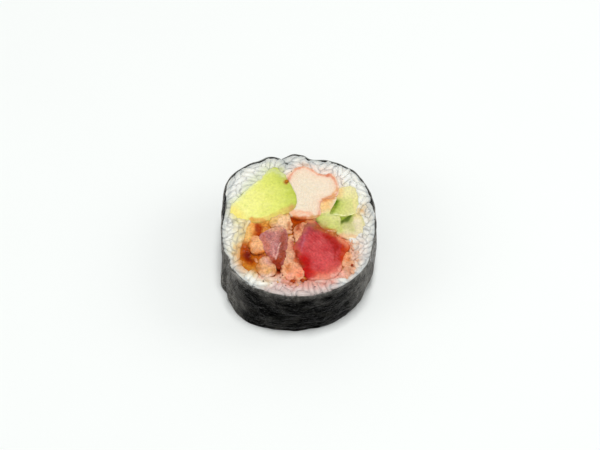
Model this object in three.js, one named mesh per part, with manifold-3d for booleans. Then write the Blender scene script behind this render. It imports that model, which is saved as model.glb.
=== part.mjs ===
// One slice of a thick sushi roll (futomaki), standing on a cut face.
// A sheet of nori wraps a ring of rice, and the rice holds tuna, avocado, crab stick, cucumber,
// chopped marinated fish and the chilli sauce that binds them. Every filling runs right through
// the slice. Millimetres, +Z up; the origin is the middle of the resting cut face.
import * as THREE from "three";
import { mergeVertices } from "three/addons/utils/BufferGeometryUtils.js";
import Module from "manifold-3d";

const wasm = await Module();
wasm.setup();

const { clamp, degToRad, lerp } = THREE.MathUtils;

// ---- Driving dimensions -------------------------------------------------------------------
const HEIGHT = 23.6; // between the two knife cuts
const HALF_WIDTH = 24.8; // of the roll, left to right
const HALF_DEPTH = 25.2; // front to back
const CENTRE_Y = -1.0; // the seam stands out at the back, so the round part sits forward of it
const NORI = 0.45; // thickness of the sheet
const GAP = 0.3; // between pieces that press against each other

// The mat squares a roll off: this one more at the back than at the front.
const SQUARENESS = 2.45; // superellipse exponent; 2 is an ellipse
const BACK_SQUARENESS = 0.35; // added at the back and taken off at the front

// Places where the wall stands in or out. Angles are in degrees, anticlockwise from +X seen from
// above. heights holds [share of the height, how far out], from the foot to the top cut.
const WALL_FEATURES = [
  { name: "back left corner", at: 131, halfAngle: 21, heights: [[0, 1.4], [1, 1.5]] },
  { name: "back left shoulder", at: 109, halfAngle: 6.5, heights: [[0, 0.8], [1, 1.0]] },
  { name: "back right corner", at: 52, halfAngle: 14, heights: [[0, 0.4], [1, 0.5]] },
  { name: "front left bulge", at: 231, halfAngle: 25, heights: [[0, 2.1], [1, 0.8]] },
  { name: "front", at: 276, halfAngle: 22, heights: [[0, 0.1], [1, 0.2]] },
  { name: "front right tuck", at: 322, halfAngle: 20, heights: [[0, -1.0], [0.3, -0.5], [1, 0.3]] },
  { name: "left fold", at: 199, halfAngle: 6, heights: [[0, 0.9], [0.12, 1.3], [0.5, 0.4], [0.9, 0]] },
  { name: "left crease", at: 207, halfAngle: 3.5, heights: [[0, -0.3], [0.5, -0.7], [1, -0.9]] },
  { name: "right fold", at: 342, halfAngle: 9, heights: [[0, -0.9], [0.25, -0.7], [0.4, 0.4], [0.7, 0.3], [1, -0.6]] },
];

// The sheet's inner end is tucked into the rice at the back, and its outer end laps over it
// with a lip of rice under it. lift holds [angle past a full turn, how far out].
const SEAM = {
  tuck: [2.4, -1.9], // from the corner to the tucked end
  corner: 103, // angle where the tucked end turns into the wall
  lapEnd: 100, // angle of the outer end
  lift: [[81, 0], [87, 1.9], [91, 2.3], [94, 2.2], [100, 0.95]],
};

const RIM_WAVE = 0.22; // the upper edge of the sheet rises and falls by this much

// Places where the rice stands back from the sheet at the upper face, which leaves dark gaps.
const RICE_DENTS = [
  { name: "left", at: 163, halfAngle: 11, into: 1.5, depth: 3 },
  { name: "right", at: 20, halfAngle: 3.6, into: 1.1, depth: 2.5 },
];

// The fillings turn and drift a little from the top cut to the foot.
const TWIST = degToRad(4);
const DRIFT = new THREE.Vector2(-0.5, -0.5);

// ---- Shapes in plan -----------------------------------------------------------------------
// Each filling is a polygon with rounded corners. round is the share of each side that a corner
// takes: 0.5 leaves no straight length. foot is its size at the resting face against the top,
// and proud is how far its top stands over the cut.
const FILLINGS = {
  tuna_large: {
    round: 0.28, foot: 0.96, proud: 0.3,
    corners: [[3.4, 0.8], [5.3, 0.5], [7.4, -2.1], [13.8, -5.9], [16.4, -8.4], [14.3, -11.6],
      [13.3, -17.2], [10.4, -20.0], [3.0, -20.2], [0.9, -15.4], [-1.7, -9.0], [0.5, -5.0]],
  },
  tuna_small: {
    round: 0.28, foot: 1.02, proud: 0.2,
    corners: [[-12.5, -4.6], [-9.6, -2.2], [-6.4, -1.2], [-3.9, -2.4], [-3.7, -9.8], [-5.9, -17.0],
      [-8.6, -13.0], [-10.8, -9.6]],
  },
  avocado: {
    round: 0.42, foot: 0.97, proud: 0.0,
    corners: [[-8.0, 22.2], [-4.2, 18.4], [-0.5, 10.6], [-0.7, 5.2], [-5.8, 3.4], [-12.0, 0.6],
      [-20.6, 2.0], [-22.6, 6.0], [-17.6, 11.4], [-11.8, 17.4]],
  },
  crab_stick: {
    round: 0.42, foot: 0.98, proud: 0.15,
    corners: [[-5.0, 14.6], [-3.6, 18.6], [-0.6, 21.1], [3.2, 21.4], [6.0, 18.9], [8.4, 18.2],
      [11.0, 18.9], [12.8, 15.4], [13.0, 11.4], [11.4, 9.9], [8.4, 9.5], [6.6, 7.4], [7.2, 3.2],
      [5.4, 1.9], [-0.6, 2.1], [-3.4, 4.2], [-1.6, 9.0]],
  },
  cucumber_1: {
    round: 0.26, foot: 0.98, proud: 0.1,
    corners: [[13.2, 13.4], [18.3, 14.2], [19.3, 8.6], [18.6, 3.8], [14.8, 2.8], [9.9, 3.6],
      [12.4, 8.6]],
  },
  cucumber_2: {
    round: 0.26, foot: 1.02, proud: 0.05,
    corners: [[4.6, 2.3], [8.0, 3.9], [13.4, 2.9], [13.3, -1.0], [11.9, -3.0], [8.6, -2.6],
      [6.2, -1.1]],
  },
  cucumber_3: {
    round: 0.3, foot: 0.95, proud: 0.0,
    corners: [[12.5, 3.5], [17.4, 3.9], [20.7, 2.2], [21.3, -1.4], [19.3, -4.5], [16.4, -5.6],
      [12.4, -4.0], [12.8, -1.0]],
  },
  cucumber_4: {
    round: 0.34, foot: 1.0, proud: 0.0,
    corners: [[6.9, 8.3], [9.4, 9.7], [12.6, 9.9], [12.0, 7.0], [10.6, 3.1], [6.8, 3.1]],
  },
  fish_bit_1: {
    round: 0.4, foot: 1.04, proud: 0.35,
    corners: [[-15.7, -5.4], [-13.0, -4.2], [-10.9, -6.6], [-10.2, -10.4], [-13.8, -11.7],
      [-15.7, -9.4]],
  },
  fish_bit_2: {
    round: 0.4, foot: 0.95, proud: 0.3,
    corners: [[-12.8, -14.4], [-11.0, -12.0], [-8.3, -12.4], [-6.7, -16.2], [-7.1, -18.7],
      [-9.8, -19.5], [-12.7, -17.6]],
  },
  fish_bit_3: {
    round: 0.36, foot: 1.0, proud: 0.15,
    corners: [[-10.0, 0.2], [-7.2, 3.4], [-4.3, 4.7], [-2.8, 2.6], [-2.2, -1.4], [-3.2, -3.2],
      [-4.6, -2.8], [-7.6, -2.6]],
  },
  fish_bit_4: {
    round: 0.38, foot: 0.98, proud: 0.25,
    corners: [[-3.4, -5.2], [-2.1, -5.0], [-1.2, -8.4], [-1.2, -10.8], [0.3, -13.8], [1.8, -17.0],
      [1.3, -19.6], [-1.0, -21.1], [-3.8, -20.2], [-5.2, -17.4], [-4.8, -13.8], [-3.6, -9.8]],
  },
  fish_bit_5: {
    round: 0.4, foot: 1.0, proud: 0.2,
    corners: [[-0.9, -1.0], [0.9, 0.2], [3.3, 0.2], [2.0, -3.0], [0.2, -5.9], [-0.8, -7.2],
      [-1.3, -4.8]],
  },
  fish_bit_6: {
    round: 0.42, foot: 1.0, proud: 0.3,
    corners: [[13.4, -12.2], [15.6, -10.4], [17.3, -12.4], [17.0, -15.3], [14.6, -15.7],
      [13.0, -13.9]],
  },
  fish_bit_7: {
    round: 0.42, foot: 0.95, proud: 0.1,
    corners: [[14.4, -16.2], [16.8, -15.6], [17.4, -17.6], [15.8, -19.9], [13.8, -20.2],
      [12.6, -18.2]],
  },
};

// The chilli sauce fills what the tuna and the chopped fish leave open, out to this outline.
const SAUCE = {
  round: 0.45, foot: 0.98, proud: -0.5,
  corners: [[-16.8, 1.2], [-9.0, 3.0], [-4.4, 6.4], [-1.0, 4.6], [5.0, 3.0], [8.6, -0.6],
    [13.4, -3.4], [17.6, -6.4], [18.6, -12.0], [18.2, -16.8], [15.6, -20.6], [8.0, -21.6],
    [2.4, -22.4], [-3.4, -22.0], [-9.0, -20.8], [-14.6, -18.2], [-18.6, -14.2], [-19.4, -10.0],
    [-17.6, -4.4]],
};
const SMALLEST_SAUCE = 20; // cubic millimetres; thinner threads are only a film

const COLOURS = {
  nori: [0x1c1d1b, 0.45],
  rice: [0xe9e6dc, 0.55],
  avocado: [0xdde07a, 0.5],
  crab_stick: [0xf3e2c6, 0.5],
  cucumber: [0xcbd685, 0.35],
  tuna_large: [0xb93d3c, 0.35],
  tuna_small: [0xb4706a, 0.35],
  fish_bit: [0xe9ae7e, 0.5],
  sauce: [0xa84414, 0.2],
};

// ---- Outlines -----------------------------------------------------------------------------
const CORNER_STEPS = 3; // straight pieces in one rounded corner

// The points of a polygon whose corners are rounded by quadratic curves, anticlockwise.
function roundedOutline(corners, round) {
  const points = [];
  const n = corners.length;
  for (let i = 0; i < n; i++) {
    const corner = new THREE.Vector2(...corners[i]);
    const from = corner.clone().lerp(new THREE.Vector2(...corners[(i + n - 1) % n]), round);
    const to = corner.clone().lerp(new THREE.Vector2(...corners[(i + 1) % n]), round);
    const curve = new THREE.QuadraticBezierCurve(from, corner, to);
    points.push(...curve.getPoints(CORNER_STEPS));
  }
  return THREE.ShapeUtils.isClockWise(points) ? points.reverse() : points;
}

// The same outline moved outwards along its normals.
function grown(points, distance) {
  const n = points.length;
  return points.map((p, i) => {
    const along = points[(i + 1) % n].clone().sub(points[(i + n - 1) % n]).normalize();
    return p.clone().add(new THREE.Vector2(along.y, -along.x).multiplyScalar(distance));
  });
}

// The value of a list of [place, value] stops, eased between them and level past the ends.
function between(stops, at) {
  const next = stops.findIndex(([place]) => place > at);
  if (next <= 0) return next === 0 ? stops[0][1] : stops.at(-1)[1];
  const [[from, low], [to, high]] = [stops[next - 1], stops[next]];
  return lerp(low, high, THREE.MathUtils.smoothstep(at, from, to));
}

// ---- Solids -------------------------------------------------------------------------------
// Turns a closed geometry into a solid that can be cut and joined.
function solidFrom(geometry) {
  const bare = geometry.clone();
  bare.deleteAttribute("normal");
  bare.deleteAttribute("uv");
  const merged = mergeVertices(bare, 1e-4);
  return new wasm.Manifold(
    new wasm.Mesh({
      numProp: 3,
      vertProperties: merged.attributes.position.array,
      triVerts: new Uint32Array(merged.index.array),
    }),
  );
}

function solidFromFaces(positions, faces) {
  return solidFrom(
    new THREE.BufferGeometry()
      .setAttribute("position", new THREE.Float32BufferAttribute(positions, 3))
      .setIndex(faces),
  );
}

// A solid's separate bodies, the largest first.
function bodiesOf(solid) {
  return solid.decompose().sort((a, b) => b.volume() - a.volume());
}

const without = (solid, cutters) => cutters.reduce((left, cutter) => left.subtract(cutter), solid);

// A filling as a solid from the resting face up to its own height. A cutter is the same filling
// grown by the gap, and it runs out past both cuts.
function fillingSolid({ corners, round, foot, proud }, cutter = false) {
  const plain = roundedOutline(corners, round);
  const middle = plain.reduce((sum, p) => sum.add(p), new THREE.Vector2()).divideScalar(plain.length);
  const overrun = cutter ? 2 : 0;
  const geometry = new THREE.ExtrudeGeometry(new THREE.Shape(cutter ? grown(plain, GAP) : plain), {
    depth: (cutter ? HEIGHT : HEIGHT + proud) + 2 * overrun,
    bevelEnabled: false,
  }).translate(0, 0, -overrun);
  const at = geometry.attributes.position;
  for (let i = 0; i < at.count; i++) {
    const down = 1 - at.getZ(i) / HEIGHT; // 0 at the top cut, 1 at the resting face
    const p = new THREE.Vector2(at.getX(i), at.getY(i)).sub(middle);
    p.multiplyScalar(lerp(1, foot, down)).add(middle);
    p.rotateAround(new THREE.Vector2(0, CENTRE_Y), TWIST * down).addScaledVector(DRIFT, down);
    at.setXY(i, p.x, p.y);
  }
  return solidFrom(geometry);
}

// ---- The wall of the roll -----------------------------------------------------------------
const LEVELS = [0, 0.12, 0.28, 0.42, 0.7, 0.88, 1]; // shares of the height where the wall is shaped
const FINE = 2.8; // degrees between wall points near the seam and the folds
const COARSE = 6; // and elsewhere

// The signed difference from one angle to another, in degrees.
const turn = (angle, from) => ((((angle - from) % 360) + 540) % 360) - 180;

// Angles of the wall's points all round, closer together where it bends sharply.
function ringAngles() {
  const narrow = [...WALL_FEATURES, ...RICE_DENTS].filter((f) => f.halfAngle < 10);
  const sharp = [...narrow, { at: 92, halfAngle: 6 }];
  const angles = [];
  for (let here = 0; here < 359; ) {
    angles.push(here);
    const near = sharp.some(({ at, halfAngle }) => Math.abs(turn(here, at)) < 2 * halfAngle);
    here += near ? FINE : COARSE;
  }
  return angles;
}

// The ring's angles between two angles, and these two.
function wallAngles(first, last) {
  const twice = [...ringAngles(), ...ringAngles().map((angle) => angle + 360)];
  return [first, ...twice.filter((angle) => angle > first + 1 && angle < last - 1), last];
}

// A point of the wall at an angle and a share of the height, this far inside the sheet's outer
// face, and lifted where the outer layer stands over the seam.
function wallPoint(angle, up, inwards, lifted) {
  const c = Math.cos(degToRad(angle));
  const s = Math.sin(degToRad(angle));
  const power = SQUARENESS + BACK_SQUARENESS * s;
  let radius = (Math.abs(c / HALF_WIDTH) ** power + Math.abs(s / HALF_DEPTH) ** power) ** (-1 / power);
  for (const { at, halfAngle, heights } of WALL_FEATURES) {
    radius += between(heights, up) * Math.exp(-((turn(angle, at) / halfAngle) ** 2));
  }
  radius += (lifted ? between(SEAM.lift, 90 + turn(angle, 90)) : 0) - inwards;
  return new THREE.Vector2(c * radius, s * radius + CENTRE_Y);
}

// ---- Nori ---------------------------------------------------------------------------------
// The middle line of the sheet at a share of the height: the tucked end, out to the wall, and
// round to the outer end.
function sheetLine(up) {
  const start = wallPoint(SEAM.corner, up, NORI / 2, false);
  const inner = start.clone().add(new THREE.Vector2(...SEAM.tuck));
  const angles = wallAngles(SEAM.corner + 3, 360 + SEAM.lapEnd);
  const after = wallPoint(angles[0], up, NORI / 2, false);
  const bend = new THREE.QuadraticBezierCurve(start.clone().lerp(inner, 0.45), start, after);
  const wall = angles.map((angle) => wallPoint(angle, up, NORI / 2, angle > 360));
  return [inner, ...bend.getPoints(3).slice(0, -1), ...wall];
}

// The closed strip on either side of the sheet's middle line, from bottom to top. The line's
// points are spread over the thickness, and reach carries both ends on past the sheet.
function stripSolid(lineAt, half, levels, { reach = 0, rim = 0, below = 0, above = 0 } = {}) {
  const positions = [];
  let count = 0;
  for (const up of levels) {
    const line = lineAt(up);
    const last = line.length - 1;
    count = line.length;
    line.forEach((p, i) => {
      const along = line[Math.min(i + 1, last)].clone().sub(line[Math.max(i - 1, 0)]).normalize();
      const mid = p.clone().addScaledVector(along, i === 0 ? -reach : i === last ? reach : 0);
      const wave = Math.sin(0.9 * i) * Math.sin(0.37 * i) * rim * up;
      const z = up * HEIGHT + wave + (up === 0 ? -below : 0) + (up === 1 ? above : 0);
      for (const side of [half, -half]) {
        positions.push(mid.x + along.y * side, mid.y - along.x * side, z);
      }
    });
  }
  const faces = [];
  const at = (level, i, side) => (level * count + i) * 2 + side;
  const quad = (a, b, c, d) => faces.push(a, b, c, a, c, d);
  const [top, end] = [levels.length - 1, count - 1];
  for (let i = 0; i < end; i++) {
    for (let level = 0; level < top; level++) {
      quad(at(level, i, 0), at(level, i + 1, 0), at(level + 1, i + 1, 0), at(level + 1, i, 0));
      quad(at(level, i + 1, 1), at(level, i, 1), at(level + 1, i, 1), at(level + 1, i + 1, 1));
    }
    quad(at(0, i, 1), at(0, i + 1, 1), at(0, i + 1, 0), at(0, i, 0));
    quad(at(top, i, 0), at(top, i + 1, 0), at(top, i + 1, 1), at(top, i, 1));
  }
  for (let level = 0; level < top; level++) {
    quad(at(level, 0, 1), at(level, 0, 0), at(level + 1, 0, 0), at(level + 1, 0, 1));
    quad(at(level, end, 0), at(level, end, 1), at(level + 1, end, 1), at(level + 1, end, 0));
  }
  return solidFromFaces(positions, faces);
}

// ---- Rice ---------------------------------------------------------------------------------
const RICE_SHARES = [1, 0.9, 0.79, 0.67, 0.52]; // rings of points on the upper face
const GRAIN = 4.4; // spacing of the lumps that the grains make in the cut face
const GRAIN_RELIEF = 0.35;

// Low lumps, a grain or so apart, in the upper cut face.
function grainRelief(x, y) {
  const k = (2 * Math.PI) / GRAIN;
  const across = Math.sin(k * x + 1.3 * Math.sin(0.6 * k * y));
  return GRAIN_RELIEF * across * Math.sin(k * y + 1.1 * Math.sin(0.7 * k * x));
}

// The rice before the fillings are cut out of it: out to the sheet less the gap, with lumps on
// its upper face.
function riceBody() {
  const angles = ringAngles();
  const n = angles.length;
  const edge = (angle, up) => {
    let dent = 0;
    for (const { at, halfAngle, into, depth } of RICE_DENTS) {
      const high = clamp(1 - ((1 - up) * HEIGHT) / depth, 0, 1);
      dent += into * high * Math.exp(-((turn(angle, at) / halfAngle) ** 2));
    }
    const inLap = angle < SEAM.lapEnd + 1;
    return wallPoint(angle, up, NORI + GAP + dent, inLap);
  };
  const positions = [];
  for (const up of LEVELS) {
    for (const angle of angles) positions.push(...edge(angle, up).toArray(), up * HEIGHT);
  }
  for (const share of RICE_SHARES.slice(1)) {
    for (const angle of angles) {
      const p = edge(angle, 1).multiplyScalar(share);
      positions.push(p.x, p.y, HEIGHT + grainRelief(p.x, p.y));
    }
  }
  const centre = positions.length / 3;
  positions.push(0, 0, HEIGHT, 0, 0, 0);
  const ring = (row, k) => row * n + (k % n);
  const rows = LEVELS.length + RICE_SHARES.length - 1;
  const faces = [];
  for (let k = 0; k < n; k++) {
    for (let row = 0; row < rows - 1; row++) {
      const [a, b, c, d] = [ring(row, k), ring(row, k + 1), ring(row + 1, k + 1), ring(row + 1, k)];
      faces.push(a, b, c, a, c, d);
    }
    faces.push(ring(rows - 1, k), ring(rows - 1, k + 1), centre);
    faces.push(ring(0, k + 1), ring(0, k), centre + 1);
  }
  return solidFromFaces(positions, faces);
}

// ---- Assembly -----------------------------------------------------------------------------
const roll = new THREE.Group();

function addPiece(name, solid) {
  const [color, roughness] = COLOURS[name] ?? COLOURS[name.replace(/_\d+$/, "")];
  const { vertProperties, triVerts } = solid.getMesh();
  const geometry = new THREE.BufferGeometry()
    .setAttribute("position", new THREE.BufferAttribute(vertProperties, 3))
    .setIndex(new THREE.BufferAttribute(triVerts, 1));
  const mesh = new THREE.Mesh(geometry, new THREE.MeshStandardMaterial({ color, roughness, metalness: 0 }));
  mesh.name = name;
  roll.add(mesh);
}

addPiece("nori", stripSolid(sheetLine, NORI / 2, LEVELS, { rim: RIM_WAVE }));

// Each filling gives way to those placed before it, as soft pieces do when the roll is pressed.
const cutters = [];
for (const [name, filling] of Object.entries(FILLINGS)) {
  addPiece(name, bodiesOf(without(fillingSolid(filling), cutters))[0]);
  cutters.push(fillingSolid(filling, true));
}

bodiesOf(without(fillingSolid(SAUCE), cutters))
  .filter((body) => body.volume() > SMALLEST_SAUCE)
  .forEach((body, i) => addPiece(`sauce_${i + 1}`, body));

const tuckedEnd = (up) => sheetLine(up).slice(0, 8);
const room = stripSolid(tuckedEnd, NORI / 2 + GAP, LEVELS, { reach: GAP, below: 1, above: 1 });
addPiece("rice", bodiesOf(without(riceBody(), [...cutters, fillingSolid(SAUCE, true), room]))[0]);

// Bring the middle of the resting face to the origin.
const middle = new THREE.Box3().setFromObject(roll).getCenter(new THREE.Vector3());
for (const mesh of roll.children) mesh.geometry.translate(-middle.x, -middle.y, 0);

export default roll;
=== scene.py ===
"""Looks of one slice of a thick tuna roll (futomaki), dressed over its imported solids.

The sheet of nori, the rice and every filling take the place of their plain solids. All lengths named
with _mm are millimetres, the sheet stands with +Z up, and the lower cut face rests on the floor.
"""

import logging
import math
from dataclasses import dataclass, field, replace
from enum import Enum
from typing import Any, ClassVar

import bmesh
import bpy
import numpy as np
from mathutils import Euler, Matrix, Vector, noise


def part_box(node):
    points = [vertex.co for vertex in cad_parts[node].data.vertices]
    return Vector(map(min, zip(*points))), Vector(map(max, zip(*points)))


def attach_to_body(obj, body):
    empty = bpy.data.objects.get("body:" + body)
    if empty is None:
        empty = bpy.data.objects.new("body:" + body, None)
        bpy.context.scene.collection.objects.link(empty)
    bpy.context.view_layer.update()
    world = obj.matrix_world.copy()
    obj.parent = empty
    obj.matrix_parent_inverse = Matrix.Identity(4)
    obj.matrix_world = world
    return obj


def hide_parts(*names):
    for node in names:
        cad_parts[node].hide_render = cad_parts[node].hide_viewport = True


# Short names for the types of what the functions take and give.
Array = np.ndarray
Chance = np.random.Generator
Mesh = bpy.types.Mesh
Object = bpy.types.Object
Socket = bpy.types.NodeSocket
Tree = bpy.types.NodeTree
Pair = tuple[float, float]
Triple = tuple[float, float, float]
Line = tuple[Pair, ...]
Stops = tuple[tuple[float, str], ...]

MM = 0.001
# The film of moisture on wet food, and the sheen on a dry leaf.
MOIST_ROUGHNESS, MOIST_IOR, SHEEN_ROUGHNESS = 0.12, 1.34, 0.09
# Blender's names for an attribute with one number, a direction or a colour for each vertex.
ATTRIBUTES = {(): ("FLOAT", "value"), (3,): ("FLOAT_VECTOR", "vector"), (4,): ("FLOAT_COLOR", "color")}
# How far inside a cut the frame's outlines are read.
NEAR_CUT_MM = 1.0
# How far a stain's colour wanders, and how far apart its bends are.
STRAY_MM, STRAY_SIZE_MM = 0.5, 1.7
LOG = logging.getLogger("futomaki")

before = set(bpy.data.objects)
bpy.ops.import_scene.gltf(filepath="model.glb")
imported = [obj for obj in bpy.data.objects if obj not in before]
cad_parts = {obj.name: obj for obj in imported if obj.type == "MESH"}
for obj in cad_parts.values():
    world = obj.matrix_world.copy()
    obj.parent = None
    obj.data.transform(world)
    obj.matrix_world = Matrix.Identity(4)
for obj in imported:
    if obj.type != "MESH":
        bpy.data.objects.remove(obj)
# The nodes of the sauce, and those of the pieces that lie in it or beside it.
SAUCE = sorted(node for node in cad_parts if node.startswith("sauce"))
SOLID = sorted(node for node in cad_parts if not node.startswith(("nori", "rice", "sauce")))


# ---- Colours and nodes ----


def linear(hex_colour: str) -> tuple[float, float, float, float]:
    """Turns six sRGB hex digits to linear red, green and blue, with an alpha of 1."""
    parts = [int(hex_colour[i : i + 2], 16) / 255 for i in (0, 2, 4)]
    return (*[c / 12.92 if c <= 0.04045 else ((c + 0.055) / 1.055) ** 2.4 for c in parts], 1.0)


def add(tree: Tree, kind: str, inputs: dict[Any, Any] | None = None, out: Any = 0, **more: Any) -> Socket:
    """Adds a node to a tree.

    Args:
        tree: The shader or geometry tree.
        kind: The node's Blender type name.
        inputs: Socket name or number to a value, or to the output socket that feeds it.
        out: Name or number of the output that is wanted.
        **more: Attributes of the node itself.

    Returns:
        That output's socket, or None from a node without outputs.
    """
    node = tree.nodes.new(kind)
    for name, value in more.items():
        setattr(node, name, value)
    for key, value in (inputs or {}).items():
        if isinstance(value, Socket):
            tree.links.new(value, node.inputs[key])
        else:
            node.inputs[key].default_value = value
    return node.outputs[out] if node.outputs else None


# ---- Mesh helpers ----


def points_of(mesh: Mesh) -> Array:
    """The vertices of a mesh, one row of three millimetres for each."""
    return rows_of(mesh, "co") / MM


def rows_of(mesh: Mesh, kind: str) -> Array:
    """Reads the vertices of a mesh.

    Args:
        mesh: The mesh.
        kind: "co" for places in metres or "normal" for directions.

    Returns:
        One row of three numbers for each vertex.
    """
    values = np.empty(len(mesh.vertices) * 3, np.float32)
    mesh.vertices.foreach_get(kind, values)
    return values.reshape(-1, 3).astype(float)


def put_points(mesh: Mesh, points: Array) -> None:
    """Moves the vertices of a mesh, and keeps them above the table.

    Args:
        mesh: The mesh.
        points: One row of three millimetres for each vertex.
    """
    points[:, 2] = np.maximum(points[:, 2], 0)
    mesh.vertices.foreach_set("co", (points * MM).astype(np.float32).ravel())
    mesh.update()


def put_attribute(mesh: Mesh, name: str, values: Array) -> None:
    """Stores one number, direction or colour for each vertex, for a finish or a node tree to read."""
    kind, key = ATTRIBUTES[values.shape[1:]]
    mesh.attributes.new(name, kind, "POINT").data.foreach_set(key, values.astype(np.float32).ravel())


def mottle(points_mm: Array, size_mm: float, seed: float) -> Array:
    """Smooth random numbers over space, from about -1 to 1, with lumps of a given size."""
    shifted = points_mm / size_mm + np.array([seed * 17.3, seed * 5.1, seed * 9.7])
    return np.array([noise.noise(p) for p in shifted.tolist()])


def rise(values: Array, start: float, end: float) -> Array:
    """A share that is 0 up to the start, grows evenly, and is 1 from the end on."""
    return np.clip((values - start) / (end - start), 0, 1)


def new_object(name: str, mesh: Mesh) -> Object:
    """Puts a mesh into the scene.

    Args:
        name: The object's name.
        mesh: Its mesh.

    Returns:
        The object, at the origin.
    """
    obj = bpy.data.objects.new(name, mesh)
    bpy.context.scene.collection.objects.link(obj)
    return obj


def merged_copy(node: str) -> Mesh:
    """Copies a frame node's mesh and joins its loose triangles.

    Args:
        node: The node's name.

    Returns:
        The new mesh.
    """
    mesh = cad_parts[node].data.copy()
    mesh.materials.clear()
    work = bmesh.new()
    work.from_mesh(mesh)
    bmesh.ops.remove_doubles(work, verts=work.verts, dist=0.002 * MM)
    work.to_mesh(mesh)
    work.free()
    for layer in list(mesh.uv_layers):
        mesh.uv_layers.remove(layer)
    return mesh


def baked(obj: Object) -> Mesh:
    """Applies an object's modifiers for good.

    Args:
        obj: The object, which is left with no modifiers.

    Returns:
        The object's new mesh.
    """
    shown = obj.evaluated_get(bpy.context.evaluated_depsgraph_get())
    mesh = bpy.data.meshes.new_from_object(shown)
    obj.modifiers.clear()
    obj.data = mesh
    return mesh


# ---- Outlines in plan ----


class CutFace(Enum):
    """The two knife cuts."""

    UPPER = "upper"
    LOWER = "lower"


def plan_loops(node: str, level_mm: float) -> list[Array]:
    """Cuts a frame node level and returns its outlines.

    Args:
        node: The node's name.
        level_mm: The height of the cut.

    Returns:
        Closed outlines, each with one row of x and y in millimetres for each corner.
    """
    work = bmesh.new()
    work.from_mesh(merged_copy(node))
    everything = work.verts[:] + work.edges[:] + work.faces[:]
    level = (0, 0, level_mm * MM)
    cut = bmesh.ops.bisect_plane(work, geom=everything, plane_co=level, plane_no=(0, 0, 1))
    edges = [e for e in cut["geom_cut"] if isinstance(e, bmesh.types.BMEdge)]
    near: dict[Any, list[Any]] = {}
    for edge in edges:
        for vert in edge.verts:
            near.setdefault(vert, []).append(edge.other_vert(vert))
    loops, done = [], set()
    for start in near:
        if start in done:
            continue
        loop, here = [], start
        while here is not None:
            done.add(here)
            loop.append((here.co.x / MM, here.co.y / MM))
            here = next((v for v in near[here] if v not in done), None)
        loops.append(np.array(loop))
    work.free()
    return [loop for loop in loops if len(loop) > 2]


def area_of(loop: Array) -> float:
    """The area inside a closed outline, in square millimetres."""
    x, y = loop[:, 0], loop[:, 1]
    return 0.5 * abs(float(np.dot(x, np.roll(y, -1)) - np.dot(y, np.roll(x, -1))))


def depth_inside(points: Array, loop: Array) -> Array:
    """How far points lie inside an outline.

    Args:
        points: One row of x and y in millimetres for each point.
        loop: The closed outline.

    Returns:
        Millimetres to the outline for each point, below zero outside it.
    """
    start, end = loop, np.roll(loop, -1, axis=0)
    nearest = np.full(len(points), np.inf)
    inside = np.zeros(len(points), bool)
    px, py = points[:, 0], points[:, 1]
    for (ax, ay), (bx, by) in zip(start, end):
        length = max((bx - ax) ** 2 + (by - ay) ** 2, 1e-12)
        t = np.clip(((px - ax) * (bx - ax) + (py - ay) * (by - ay)) / length, 0, 1)
        nearest = np.minimum(nearest, (px - ax - t * (bx - ax)) ** 2 + (py - ay - t * (by - ay)) ** 2)
        if ay != by:
            crosses = (ay > py) != (by > py)
            inside ^= crosses & (px < (bx - ax) * (py - ay) / (by - ay) + ax)
    return np.where(inside, 1.0, -1.0) * np.sqrt(nearest)


def distance_to_line(points: Array, line: Line) -> Array:
    """Distance from points to an open line.

    Args:
        points: One row of x and y in millimetres for each point.
        line: The line's corners in millimetres.

    Returns:
        Millimetres for each point.
    """
    nearest = np.full(len(points), np.inf)
    for a, b in zip(line[:-1], line[1:]):
        a, along = np.array(a), np.array(b) - np.array(a)
        t = np.clip((points - a) @ along / (along @ along), 0, 1)
        nearest = np.minimum(nearest, np.linalg.norm(points - a - t[:, None] * along, axis=1))
    return nearest


def near_angle(points: Array, angle_deg: float, spread_deg: float) -> Array:
    """How near points lie to one direction from the middle of the roll.

    Args:
        points: One row of places in millimetres for each point.
        angle_deg: The direction.
        spread_deg: Where the share has faded to a third.

    Returns:
        A share from 0 to 1 for each point.
    """
    away = np.degrees(np.arctan2(points[:, 1], points[:, 0])) - angle_deg
    away = (away + 180) % 360 - 180
    return np.exp(-((away / spread_deg) ** 2))


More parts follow.
